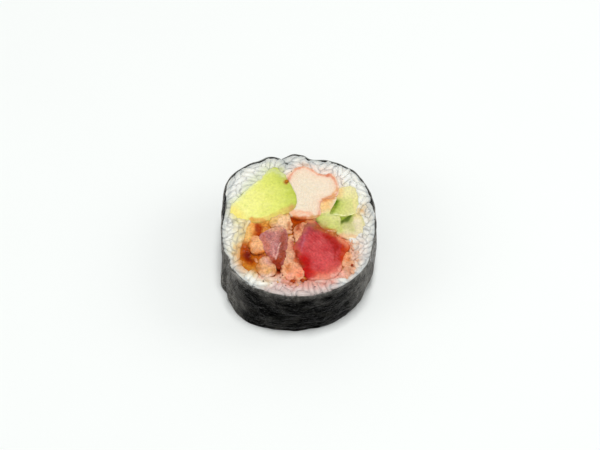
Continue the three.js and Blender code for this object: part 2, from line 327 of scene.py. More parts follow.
@dataclass(frozen=True)
class Seam:
    """The seam of the sheet, whose outer end lies on the inner one with a lip of rice between them.

    Attributes:
        inner: Height, in plan, of the outside of the inner end at x = 0, and its slope.
        outer: The same for the inside of the outer end.
        near_mm: The x at which the outer end starts to be drawn down, and where it is fully down.
        draw_mm: How far its tip is drawn down, in x and y.
        bulges: Direction, spread and height of the places where the upper wall stands out.
        from_mm: From the middle of the roll, where the bulges start and where they are full.
        from_height_mm: The same, up the wall.
    """

    inner: Pair = (20.57, -0.745)
    outer: Pair = (26.55, 0.39)
    near_mm: Pair = (-0.6, -4.2)
    draw_mm: Pair = (-0.7, -0.62)
    bulges: tuple[Triple, ...] = (
        (146.0, 13.0, 0.85), (109.0, 7.0, 0.5), (69.0, 10.0, 0.45), (14.0, 9.0, 0.4),
    )
    from_mm: Pair = (13.0, 22.0)
    from_height_mm: Pair = (6.0, 16.0)

    def drawn(self, points: Array) -> Array:
        """Draws the outer end down on to the inner one, with the rice between them.

        Args:
            points: One row of three millimetres for each point.

        Returns:
            The new places of the points.
        """
        x, y = points[:, 0], points[:, 1]
        foot, top = [height + slope * x for height, slope in (self.inner, self.outer)]
        lifted = np.clip((y - foot) / np.maximum(top - foot, 0.1), 0, 1)
        along = rise(x, *self.near_mm)
        share = lifted * along * along * (3 - 2 * along)
        points = points + share[:, None] * np.array([*self.draw_mm, 0.0])
        out = sum(height * near_angle(points, angle, spread) for angle, spread, height in self.bulges)
        radius = np.hypot(points[:, 0], points[:, 1])
        out = out * rise(radius, *self.from_mm) * rise(points[:, 2], *self.from_height_mm)
        points[:, :2] *= (1 + out / np.maximum(radius, 1))[:, None]
        return points


def height_mm() -> float:
    """The height between the two knife cuts, from the frame's flattest filling."""
    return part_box("avocado")[1].z / MM


# ---- Finishes ----


@dataclass(frozen=True)
class Finish:
    """The surface of a foodstuff: what all of them share.

    Attributes:
        name: The material's name.
        roughness: From 0, wet, to 1, dry.
        ior: How strongly light bends at the surface.
        coat: How much clear moisture lies on it.
        scatter: How much light passes into the flesh.
        scatter_mm: How far red, green and blue travel there.
        sheen: How much it brightens where it is seen edge on.
        bump_mm: Height of the finest relief.
        speckle: How far light and dark specks in the surface stray from its colour.
        speckle_mm: How far apart those specks are.
        ragged_mm: How far apart the bays in a stain's edge are.
    """

    name: str
    roughness: float = 0.4
    ior: float = 1.38
    coat: float = 0.0
    scatter: float = 0.0
    scatter_mm: Triple = (1.0, 0.6, 0.4)
    sheen: float = 0.0
    bump_mm: float = 0.06
    speckle: float = 0.12
    speckle_mm: float = 0.7
    ragged_mm: float = 1.3

    def material(self) -> bpy.types.Material:
        """Builds the material.

        Returns:
            The material, with its colour and relief from the finish's own methods.
        """
        if self.name in bpy.data.materials:
            return bpy.data.materials[self.name]
        material = bpy.data.materials.new(self.name)
        material.use_nodes = True
        tree = material.node_tree
        tree.nodes.clear()
        place = add(tree, "ShaderNodeTexCoord", out="Object")
        place = add(tree, "ShaderNodeMapping", {"Vector": place, "Scale": (1 / MM,) * 3})
        inputs = {"Height": self.relief(tree, place), "Distance": self.bump_mm * MM, "Strength": 1.0}
        bump = add(tree, "ShaderNodeBump", inputs)
        inputs = {
            "Base Color": self.stained_and_painted(tree, place),
            "Normal": bump,
            "Roughness": self.roughness,
            "IOR": self.ior,
            "Coat Weight": self.coat,
            "Coat Roughness": MOIST_ROUGHNESS,
            "Coat IOR": MOIST_IOR,
            "Sheen Weight": self.sheen,
            "Sheen Roughness": SHEEN_ROUGHNESS,
            "Subsurface Weight": self.scatter,
            "Subsurface Radius": self.scatter_mm,
            "Subsurface Scale": MM,
        }
        shader = add(tree, "ShaderNodeBsdfPrincipled", inputs)
        add(tree, "ShaderNodeOutputMaterial", {"Surface": shader})
        return material

    def relief(self, tree: Tree, place: Socket) -> Socket:
        """The height of the finest relief, from 0 to 1."""
        return add(tree, "ShaderNodeTexNoise", {"Vector": place, "Scale": 1.6, "Detail": 3.0})

    def stained_and_painted(self, tree: Tree, place: Socket) -> Socket:
        """The surface's own colour under what has soaked into it from its neighbours, and under painted
        shade and highlights.

        Args:
            tree: The nodes.
            place: Millimetres on the object.

        Returns:
            The colour.
        """
        # Noise pushes the stain's share up and down, so its edge runs into bays and islands.
        stain = add(tree, "ShaderNodeAttribute", attribute_name="stain").node.outputs
        rough = patchy(tree, place, self.ragged_mm, 0.25, 0.75)
        inputs = {0: stain["Alpha"], 1: 1.5, 2: rough}
        ragged = add(tree, "ShaderNodeMath", inputs, operation="MULTIPLY_ADD")
        share = clamped(tree, ragged, 0.75, "SUBTRACT")
        share = clamped(tree, share, stain["Alpha"], "MAXIMUM")
        share = clamped(tree, share, clamped(tree, stain["Alpha"], 1.6))
        mixed = blend(tree, share, self.colour(tree, place), stain["Color"])
        inputs = {"Vector": place, "Scale": 1 / self.speckle_mm, "Detail": 2.0}
        specks = add(tree, "ShaderNodeTexNoise", inputs)
        inputs = {"Value": specks, "From Min": 0.3, "From Max": 0.7}
        span = {"To Min": 1 - self.speckle, "To Max": 1 + self.speckle}
        level = add(tree, "ShaderNodeMapRange", {**inputs, **span})
        grey = add(tree, "ShaderNodeCombineXYZ", {0: level, 1: level, 2: level})
        return blend(tree, 1.0, mixed, grey, "MULTIPLY")

    def colour(self, tree: Tree, place: Socket) -> Socket:
        """The surface's own colour."""
        raise NotImplementedError


def read(tree: Tree, attribute: str) -> Socket:
    """The socket that gives a vertex attribute's number."""
    return add(tree, "ShaderNodeAttribute", out="Fac", attribute_name=attribute)


def blend(tree: Tree, share: Any, first: Any, second: Any, mode: str = "MIX") -> Socket:
    """Mixes two colours.

    Args:
        tree: The nodes.
        share: How much of the second colour, a number or a socket.
        first: A hex colour or a socket.
        second: A hex colour or a socket.
        mode: Blender's name for how they mix.

    Returns:
        The mixed colour.
    """
    colours = [linear(c) if isinstance(c, str) else c for c in (first, second)]
    inputs = {0: share, 6: colours[0], 7: colours[1]}
    return add(tree, "ShaderNodeMix", inputs, 2, data_type="RGBA", blend_type=mode)


def ramp(tree: Tree, value: Socket, stops: Stops) -> Socket:
    """A colour that follows a number.

    Args:
        tree: The nodes.
        value: The number's socket.
        stops: The number and hex colour of each stop, in rising order.

    Returns:
        The colour.
    """
    low, high = stops[0][0], stops[-1][0]
    share = add(tree, "ShaderNodeMapRange", {"Value": value, "From Min": low, "From Max": high})
    blended = add(tree, "ShaderNodeValToRGB", {"Fac": share})
    elements = blended.node.color_ramp.elements
    while len(elements) < len(stops):
        elements.new(0.5)
    for element, (at, colour) in zip(elements, stops):
        element.position = (at - low) / (high - low)
        element.color = linear(colour)
    return blended


def patchy(tree: Tree, place: Socket, size_mm: float, low: float, high: float) -> Socket:
    """A random share, from 0 to 1, in patches.

    Args:
        tree: The nodes.
        place: Millimetres on the object.
        size_mm: How far apart the patches are.
        low: The noise value that gives 0.
        high: The noise value that gives 1.

    Returns:
        The share.
    """
    inputs = {"Vector": place, "Scale": 1 / size_mm, "Detail": 3.0}
    value = add(tree, "ShaderNodeTexNoise", inputs)
    return add(tree, "ShaderNodeMapRange", {"Value": value, "From Min": low, "From Max": high})


def clamped(tree: Tree, first: Any, second: Any, operation: str = "MULTIPLY") -> Socket:
    """Multiplies two numbers, or joins them by another operation, and keeps the result from 0 to 1."""
    return add(tree, "ShaderNodeMath", {0: first, 1: second}, operation=operation, use_clamp=True)


def product(tree: Tree, *factors: Any) -> Socket:
    """Multiplies any number of factors, without a limit.

    Args:
        tree: The nodes.
        *factors: Numbers or sockets.

    Returns:
        The product.
    """
    result = factors[0]
    for factor in factors[1:]:
        result = add(tree, "ShaderNodeMath", {0: result, 1: factor}, operation="MULTIPLY")
    return result


@dataclass(frozen=True)
class CookedRice(Finish):
    """Short-grain rice, steamed and dressed: swollen starch, sticky with moisture.

    Light goes into each grain and comes out again, so the eye sees milky grains, soft shade between
    them and a faint gleam on each.

    Attributes:
        pale: Colour of the whitest grains.
        deep: Colour of the dullest.
    """

    name: str = "Steamed short-grain rice"
    roughness: float = 0.42
    ior: float = 1.36
    coat: float = 0.12
    scatter: float = 0.6
    scatter_mm: Triple = (1.3, 1.2, 1.1)
    bump_mm: float = 0.04
    speckle: float = 0.04
    pale: str = "F9F8EE"
    deep: str = "F3F1E5"

    def colour(self, tree: Tree, place: Socket) -> Socket:
        """Pale grains, each its own tone."""
        return blend(tree, read(tree, "tone"), self.pale, self.deep)


@dataclass(frozen=True)
class DriedSeaweed(Finish):
    """A pressed sheet of nori, toasted, then softened by the rice: nearly black, finely wrinkled.

    The sheen on its wrinkles is what the eye takes for a dry, leathery leaf: the sides turn grey
    where they are seen edge on, with painted sheen too, and each small fold catches a line of light.

    Attributes:
        dark: Colour of the leaf.
        light: Of its thinner clouds.
        pale_grey: Of its pale streaks and specks: paler grey near the cut, and painted sheen on the sides.
        rim: Of its cut edge, and of what faces up just below it.
        wrinkled: How small its wrinkles are in x, y and z: they are longer round the roll.
        clouded: The same for its clouds.
        streaked: The same for its streaks, which are longer up the wall.
    """

    name: str = "Toasted seaweed sheet"
    ior: float = 1.03
    sheen: float = 0.85
    bump_mm: float = 0.4
    speckle: float = 0.0
    ragged_mm: float = 0.6
    dark: str = "020202"
    light: str = "2E2E2A"
    # Painted sheen on the sides, and a paler grey near the cut.
    pale_grey: str = "A29E97"
    rim: str = "9CA09B"
    wrinkled: Triple = (0.45, 0.45, 1.0)
    clouded: Triple = (0.55, 0.55, 1.0)
    streaked: Triple = (1.0, 1.0, 0.3)

    def relief(self, tree: Tree, place: Socket) -> Socket:
        """Fine wrinkles that run round the roll, over the grit of the pressed leaf.

        Args:
            tree: The nodes.
            place: Millimetres on the object.

        Returns:
            The height, from 0 to 1.
        """
        flat = add(tree, "ShaderNodeMapping", {"Vector": place, "Scale": self.wrinkled})
        inputs = {"Vector": flat, "Scale": 0.9, "Detail": 5.0, "Roughness": 0.7}
        folds = add(tree, "ShaderNodeTexNoise", inputs)
        grit = add(tree, "ShaderNodeTexNoise", {"Vector": place, "Scale": 1.8, "Detail": 3.0})
        return clamped(tree, folds, clamped(tree, grit, 0.8), "ADD")

    def colour(self, tree: Tree, place: Socket) -> Socket:
        """Near black, with grey upright streaks and specks near the cut and as painted sheen on the sides,
        and a grey cut rim.

        Args:
            tree: The nodes.
            place: Millimetres on the object.

        Returns:
            The colour.
        """
        flat = add(tree, "ShaderNodeMapping", {"Vector": place, "Scale": self.clouded})
        cloud = clamped(tree, patchy(tree, place, 4.0, 0.3, 0.6), patchy(tree, flat, 0.7, 0.48, 0.7))
        leaf = blend(tree, cloud, self.dark, self.light)
        upright = add(tree, "ShaderNodeMapping", {"Vector": place, "Scale": self.streaked})
        specks = clamped(tree, patchy(tree, place, 0.45, 0.42, 0.72), 0.35)
        streaks = clamped(tree, patchy(tree, upright, 1.1, 0.42, 0.66), 0.5)
        # Painted sheen: grey streaks and specks that stand in for light caught edge on at the sides; near
        # the cut they make the leaf paler.
        pale_grey = clamped(tree, clamped(tree, specks, streaks, "ADD"), 0.15, "ADD")
        leaf = blend(tree, clamped(tree, pale_grey, read(tree, "wear")), leaf, self.pale_grey)
        return blend(tree, read(tree, "rim"), leaf, self.rim)


@dataclass(frozen=True)
class Flesh(Finish):
    """Raw or marinated fish, cut with a sharp knife: wet, dense muscle, a little see-through.

    The eye sees a smooth, deeply coloured face with short pale fibres and thin, broken, paler lines
    between the flakes.

    Attributes:
        body: Colour of the muscle.
        light: Colour of its paler clouds.
        line: Colour of the fibres and of the lines between the flakes.
        flake_mm: How far apart those lines are.
        lines: How strong they are.
        fibre: How strong the fibres are.
        fibre_mm: How far apart they are.
        fibre_turn: Their direction in plan, in radians.
    """

    name: str = "Raw tuna"
    ior: float = 1.22
    coat: float = 0.05
    scatter: float = 0.25
    scatter_mm: Triple = (1.6, 0.5, 0.4)
    bump_mm: float = 0.16
    speckle: float = 0.16
    body: str = "B42C30"
    light: str = "C94649"
    line: str = "D66C68"
    flake_mm: float = 2.4
    lines: float = 0.3
    fibre: float = 0.32
    fibre_mm: float = 0.5
    fibre_turn: float = 2.4

    def flakes(self, tree: Tree, place: Socket) -> Socket:
        """Thin, broken, gently curved lines between the muscle flakes.

        Args:
            tree: The nodes.
            place: Millimetres on the object.

        Returns:
            A share of 0 on the flake and 1 on a line.
        """
        # At a scale of 0.31 the texture has one band for each millimetre.
        shape = {"Distortion": 7.0, "Detail": 3.0, "Detail Scale": 0.5}
        inputs = {"Vector": place, "Scale": 0.31 / self.flake_mm, **shape}
        wave = add(tree, "ShaderNodeTexWave", inputs, out="Fac", bands_direction="DIAGONAL")
        line = add(tree, "ShaderNodeMapRange", {"Value": wave, "From Min": 0.7, "From Max": 1.0})
        return clamped(tree, line, patchy(tree, place, 2.0, 0.4, 0.65))

    def relief(self, tree: Tree, place: Socket) -> Socket:
        """Flake lines stand a little proud of the cut flesh.

        Args:
            tree: The nodes.
            place: Millimetres on the object.

        Returns:
            The height, from 0 to 1.
        """
        grit = add(tree, "ShaderNodeTexNoise", {"Vector": place, "Scale": 1.3, "Detail": 4.0})
        grain = clamped(tree, grit, clamped(tree, self.fibres(tree, place), 0.3), "ADD")
        lines = clamped(tree, self.flakes(tree, place), 0.2)
        return clamped(tree, clamped(tree, grain, 0.6), lines, "ADD")

    def colour(self, tree: Tree, place: Socket) -> Socket:
        """Flesh in two tones, with its flake lines.

        Args:
            tree: The nodes.
            place: Millimetres on the object.

        Returns:
            The colour.
        """
        meat = blend(tree, patchy(tree, place, 2.2, 0.35, 0.7), self.body, self.light)
        meat = blend(tree, clamped(tree, self.fibres(tree, place), self.fibre), meat, self.line)
        return blend(tree, clamped(tree, self.flakes(tree, place), self.lines), meat, self.line)

    def fibres(self, tree: Tree, place: Socket) -> Socket:
        """Short pale muscle fibres that all run one way.

        Args:
            tree: The nodes.
            place: Millimetres on the object.

        Returns:
            A share of 0 between the fibres and 1 on one.
        """
        across = 1 / self.fibre_mm
        turned = add(tree, "ShaderNodeMapping", {"Vector": place, "Rotation": (0.0, 0.0, self.fibre_turn)})
        inputs = {"Vector": turned, "Scale": (across, across / 6, across / 6)}
        along = add(tree, "ShaderNodeMapping", inputs)
        return patchy(tree, along, 1.0, 0.42, 0.66)


@dataclass(frozen=True)
class SearedTuna(Flesh):
    """Tuna whose outside was seared, then soaked in sauce: firmer and duller than the raw piece.

    Heat has made the muscle opaque, so the eye sees a brownish pink with clearer, paler fibres.
    """

    name: str = "Seared tuna"
    body: str = "A75F5C"
    light: str = "BE7A76"
    line: str = "DCAAA4"
    speckle: float = 0.3
    speckle_mm: float = 0.5
    flake_mm: float = 2.0
    lines: float = 0.4
    fibre_turn: float = 0.5


@dataclass(frozen=True)
class ChoppedFish(Flesh):
    """Fish chopped by hand and stirred into chilli sauce.

    The marinade dyes it orange, and its torn faces give the eye small lights and shadows.
    """

    name: str = "Marinated chopped fish"
    body: str = "DB9468"
    light: str = "EBB68A"
    line: str = "F3CFAE"
    scatter_mm: Triple = (1.2, 0.7, 0.4)
    bump_mm: float = 0.2
    speckle: float = 0.24
    flake_mm: float = 1.4
    lines: float = 0.4


@dataclass(frozen=True)
class SaucedShreds(Flesh):
    """Torn shreds of fish in chilli sauce: the eye sees some pale, and some wet and orange.

    Attributes:
        pale: Colour of a shred that no sauce has reached.
        coated: Of one with a film of sauce.
        soaked: Of one that is full of it.
    """

    name: str = "Shreds of marinated fish"
    roughness: float = 0.3
    coat: float = 0.25
    scatter_mm: Triple = (1.2, 0.7, 0.4)
    speckle: float = 0.15
    pale: str = "ECBC96"
    coated: str = "E2A47C"
    soaked: str = "D48A5A"

    def colour(self, tree: Tree, place: Socket) -> Socket:
        """Each shred has its own share of sauce."""
        stops = ((0.05, self.pale), (0.4, self.coated), (0.85, self.soaked))
        return ramp(tree, read(tree, "tone"), stops)


@dataclass(frozen=True)
class Layered(Finish):
    """A soft foodstuff whose colour follows the depth below its skin.

    Attributes:
        stops: Depth in millimetres and colour, in rising order.
        drift_mm: How far the layers wander.
        cloud: Colour of a faint mottling.
        clouding: How strong that is.
    """

    stops: Stops = ()
    drift_mm: float = 2.0
    cloud: str = "FFFFFF"
    clouding: float = 0.25

    def colour(self, tree: Tree, place: Socket) -> Socket:
        """Layers of colour under the skin, faintly mottled.

        Args:
            tree: The nodes.
            place: Millimetres on the object.

        Returns:
            The colour.
        """
        drift = add(tree, "ShaderNodeTexNoise", {"Vector": place, "Scale": 0.5, "Detail": 4.0})
        inputs = {0: drift, 1: 2 * self.drift_mm, 2: -self.drift_mm}
        shift = add(tree, "ShaderNodeMath", inputs, operation="MULTIPLY_ADD")
        depth = add(tree, "ShaderNodeMath", {0: read(tree, "skin"), 1: shift}, operation="ADD")
        flesh = ramp(tree, depth, self.stops)
        cloud = clamped(tree, patchy(tree, place, 1.2, 0.5, 0.75), self.clouding)
        return blend(tree, cloud, flesh, self.cloud)


@dataclass(frozen=True)
class RipeAvocado(Layered):
    """Ripe avocado, cut with a wet knife: dense, fatty flesh.

    The fat scatters light close under the cut, so the eye sees a matt, buttery face, green beside the
    skin and yellow towards the stone.
    """

    name: str = "Ripe avocado"
    roughness: float = 0.5
    ior: float = 1.3
    scatter: float = 0.25
    scatter_mm: Triple = (1.1, 1.1, 0.5)
    bump_mm: float = 0.05
    speckle: float = 0.08
    cloud: str = "C6D25C"
    clouding: float = 0.45
    stops: Stops = (
        (0.0, "B4C246"), (1.6, "C2CC56"), (3.6, "D2DA66"), (7.0, "E0E474"), (11.0, "EAEA84"),
        (17.0, "F0EF94"),
    )


@dataclass(frozen=True)
class CutCucumber(Layered):
    """Cucumber cut with a sharp knife: crisp cells full of water.

    The eye sees a thin dark green peel, pale watery flesh under it, and the gleam of its juice.
    """

    name: str = "Cut cucumber"
    roughness: float = 0.3
    ior: float = 1.35
    coat: float = 0.2
    scatter: float = 0.3
    scatter_mm: Triple = (0.9, 1.1, 0.5)
    drift_mm: float = 0.5
    cloud: str = "CDD07C"
    stops: Stops = (
        (0.0, "6F8A14"), (0.7, "93A630"), (1.5, "BFC966"), (3.5, "D2D380"), (7.0, "DCD992"),
        (11.0, "E6DBA2"),
    )


@dataclass(frozen=True)
class SeedyCucumber(CutCucumber):
    """Cucumber from near the seeds, softer, whose flesh turns to a cream jelly away from the peel."""

    name: str = "Cucumber near the seeds"
    stops: Stops = (
        (0.0, "8AA01B"), (0.9, "A9B650"), (2.2, "C2C27A"), (4.5, "DDD4A2"), (7.5, "EBDFBA"),
    )


@dataclass(frozen=True)
class CrabPaste(Layered):
    """Surimi: fish paste steamed in thin sheets, rolled up and dyed outside.

    The eye sees a smooth cream face with faint fine layers, and a soft orange edge.

    Attributes:
        layering: Radians of its layers' wave for each millimetre below the skin.
        wavering: Radians by which the layers wander.
        ridge: How high they stand beside the grit of the paste.
    """

    name: str = "Surimi crab stick"
    roughness: float = 0.45
    ior: float = 1.35
    coat: float = 0.1
    scatter: float = 0.3
    scatter_mm: Triple = (1.2, 1.0, 0.8)
    bump_mm: float = 0.14
    speckle: float = 0.05
    drift_mm: float = 0.9
    cloud: str = "E2CDAA"
    clouding: float = 0.35
    stops: Stops = (
        (0.0, "E79F80"), (0.25, "EFB79A"), (0.6, "F4D3BA"), (1.6, "F4DFC6"), (5.0, "F0E2CA"),
    )
    layering: float = 11.0
    wavering: float = 14.0
    ridge: float = 0.25

    def relief(self, tree: Tree, place: Socket) -> Socket:
        """Layers of the folded sheet, about half a millimetre each, seen end on.

        Args:
            tree: The nodes.
            place: Millimetres on the object.

        Returns:
            The height, from 0 to 1.
        """
        layer = product(tree, read(tree, "skin"), self.layering)
        waver = add(tree, "ShaderNodeTexNoise", {"Vector": place, "Scale": 0.6, "Detail": 3.0})
        inputs = {0: waver, 1: self.wavering, 2: layer}
        phase = add(tree, "ShaderNodeMath", inputs, operation="MULTIPLY_ADD")
        wave = add(tree, "ShaderNodeMath", {0: phase}, operation="SINE")
        grit = add(tree, "ShaderNodeTexNoise", {"Vector": place, "Scale": 1.8, "Detail": 3.0})
        return add(tree, "ShaderNodeMath", {0: wave, 1: self.ridge, 2: grit}, operation="MULTIPLY_ADD")


@dataclass(frozen=True)
class ChilliSauce(Finish):
    """Thick chilli and soy sauce with chopped fish in it, stirred by hand.

    The eye sees a wet orange film where it is thin and a dark brown pool where it is deep.

    Attributes:
        thin: Colour of the film.
        body: Colour where it gathers.
    """

    name: str = "Chilli sauce"
    roughness: float = 0.34
    ior: float = 1.15
    coat: float = 0.08
    scatter: float = 0.2
    scatter_mm: Triple = (1.2, 0.5, 0.2)
    bump_mm: float = 0.3
    speckle: float = 0.2
    thin: str = "DE9A44"
    body: str = "C06A10"

    def colour(self, tree: Tree, place: Socket) -> Socket:
        """Orange where the sauce is a film over chopped fish, brown where it gathers."""
        return blend(tree, patchy(tree, place, 1.5, 0.35, 0.65), self.thin, self.body)


@dataclass(frozen=True)
class PaleTable(Finish):
    """A plain white table top, matt, which takes soft shade and gives no reflection.

    Attributes:
        shade: Its colour.
        cloud: The colour of its faint unevenness.
    """

    name: str = "Matt white table"
    roughness: float = 0.7
    shade: str = "F6F9F7"
    cloud: str = "F4F7F5"
    bump_mm: float = 0.01
    speckle: float = 0.0

    def colour(self, tree: Tree, place: Socket) -> Socket:
        """White, with a trace of unevenness too weak to draw the eye."""
        return blend(tree, clamped(tree, patchy(tree, place, 40.0, 0.3, 0.7), 0.3), self.shade, self.cloud)


# ---- Stains ----


@dataclass(frozen=True)
class StainAndPaintedLight:
    """Colour laid on a piece along a line or at a spot, placed in plan: what soaked in, and on the rice
    and the sheet also painted shade and highlights.

    Attributes:
        line_mm: Its middle line, or one point.
        reach_mm: Where it has faded to a third.
        colour: Hex colour.
        strength: From 0 to 1 at its middle.
        edge: 2 for a soft edge, more for a crisp one.
        heights_mm: The lowest and highest points that it reaches, fading over a millimetre.
    """

    line_mm: Line
    reach_mm: float
    colour: str
    strength: float = 0.8
    edge: float = 2.0
    heights_mm: Pair = (-9.0, 99.0)

    def cover(self, points: Array) -> Array:
        """How strongly it covers points.

        Args:
            points: One row of three millimetres for each point.

        Returns:
            A share from 0 to 1 for each point.
        """
        plan, height = points[:, :2], points[:, 2]
        low, high = self.heights_mm
        band = np.clip(np.minimum(height - low, high - height) + 0.5, 0, 1)
        if len(self.line_mm) > 1:
            away = distance_to_line(plan, self.line_mm)
        else:
            away = np.linalg.norm(plan - np.array(self.line_mm[0]), axis=1)
        return self.strength * band * np.exp(-((away / self.reach_mm) ** self.edge))


def put_stains_and_painted_light(mesh: Mesh, points_mm: Array, stains_and_painted_light: tuple[StainAndPaintedLight, ...]) -> None:
    """Stores the stains on a mesh, for its finish to read.

    Args:
        mesh: The mesh.
        points_mm: One row of three millimetres for each vertex.
        stains_and_painted_light: The stains; a later one lies over an earlier one.
    """
    shift = [STRAY_MM * mottle(points_mm, STRAY_SIZE_MM, seed) for seed in (1.0, 2.0, 3.0)]
    places = points_mm + np.stack(shift, -1)
    colour = np.zeros((len(places), 4))
    for stain in stains_and_painted_light:
        share = stain.cover(places)[:, None]
        over = np.append(linear(stain.colour)[:3], 1.0)
        colour = colour * (1 - share) + over * share
    colour[:, :3] /= np.maximum(colour[:, 3:], 1e-6)
    put_attribute(mesh, "stain", colour)


# Sauce and juice that ran along the narrow gaps, and dyed the pieces at both sides of them.
SEEPS = (
    StainAndPaintedLight(((2.6, -0.7), (5.4, -0.9)), 0.7, "A8664A", 0.6),
    StainAndPaintedLight(((6.0, -1.3), (7.8, -2.2), (10.5, -3.4)), 0.75, "A85420", 0.85),
    StainAndPaintedLight(((14.6, -15.5), (16.4, -15.2)), 0.8, "E6A07A", 0.7),
    StainAndPaintedLight(((1.7, 22.2), (3.3, 21.9)), 0.6, "C1A791"),
    StainAndPaintedLight(((10.5, -3.3), (13.3, -4.9)), 0.8, "C87840"),
    StainAndPaintedLight(((13.7, -5.4), (15.9, -8.0)), 1.1, "E18763", 0.85),
    StainAndPaintedLight(((14.4, -8.2), (14.1, -12.8)), 0.45, "BB3600", 0.85),
    StainAndPaintedLight(((-0.4, -10.4), (-0.2, -13.2), (1.5, -15.6)), 0.75, "9A2C00", 0.85),
    StainAndPaintedLight(((-0.9, -13.2), (-0.6, -14.0)), 0.6, "BF5E32"),
    StainAndPaintedLight(((-1.6, -7.2), (-0.9, -9.6)), 0.5, "BF5639", 0.7),
    StainAndPaintedLight(((6.8, -19.5), (10.8, -19.1)), 0.9, "DD8169", 0.85),
    StainAndPaintedLight(((11.4, -19.1), (14.2, -18.8)), 1.0, "E5AA9A", 0.85),
    StainAndPaintedLight(((13.2, -16.9), (13.9, -17.4)), 0.7, "E79F8D", 0.75),
    StainAndPaintedLight(((3.2, -20.8), (5.0, -20.6)), 0.7, "E99F8C"),
    StainAndPaintedLight(((-7.5, -18.9), (-4.9, -18.9)), 0.8, "E6AC93"),
    StainAndPaintedLight(((18.3, -10.4), (18.4, -13.0)), 0.9, "E5C1AD", 0.7),
    StainAndPaintedLight(((-8.9, -13.2), (-8.2, -13.9)), 0.6, "D28E71"),
    StainAndPaintedLight(((-13.8, -17.1), (-12.7, -17.3)), 0.8, "D7A776", 0.75),
    StainAndPaintedLight(((-0.8, -20.7),), 0.7, "BC5530", 0.75),
    StainAndPaintedLight(((-14.9, 1.7), (-9.7, 0.8)), 0.8, "DCA04A"),
    StainAndPaintedLight(((-7.6, 1.0), (-4.7, 3.4)), 0.7, "DDB56E"),
    StainAndPaintedLight(((0.6, 0.0), (0.3, -2.0)), 0.85, "A33F10", 0.85),
    StainAndPaintedLight(((3.7, 1.3), (5.4, 1.0)), 0.8, "DA915E", 0.85),
    StainAndPaintedLight(((-7.3, -14.0), (-5.3, -16.7)), 0.75, "8B2500", 0.9),
    StainAndPaintedLight(((-7.2, -16.9), (-6.9, -17.5)), 0.6, "CA8352"),
    StainAndPaintedLight(((-17.4, -14.1), (-12.9, -17.3)), 0.9, "C98028"),
    StainAndPaintedLight(((12.8, 0.6), (13.2, -2.6)), 0.8, "C6CA76", 0.85),
    StainAndPaintedLight(((10.2, 3.2), (12.6, 3.4)), 0.7, "CFD488"),
    StainAndPaintedLight(((-12.3, -19.4), (-6.0, -19.8)), 1.1, "E3C0AD", 0.85),
    StainAndPaintedLight(((-11.9, -11.5), (-9.8, -11.9)), 0.75, "AC5128", 0.9),
    StainAndPaintedLight(((-4.4, -20.9), (-1.0, -21.9)), 1.0, "D98A70"),
)


# ---- Strewing ----


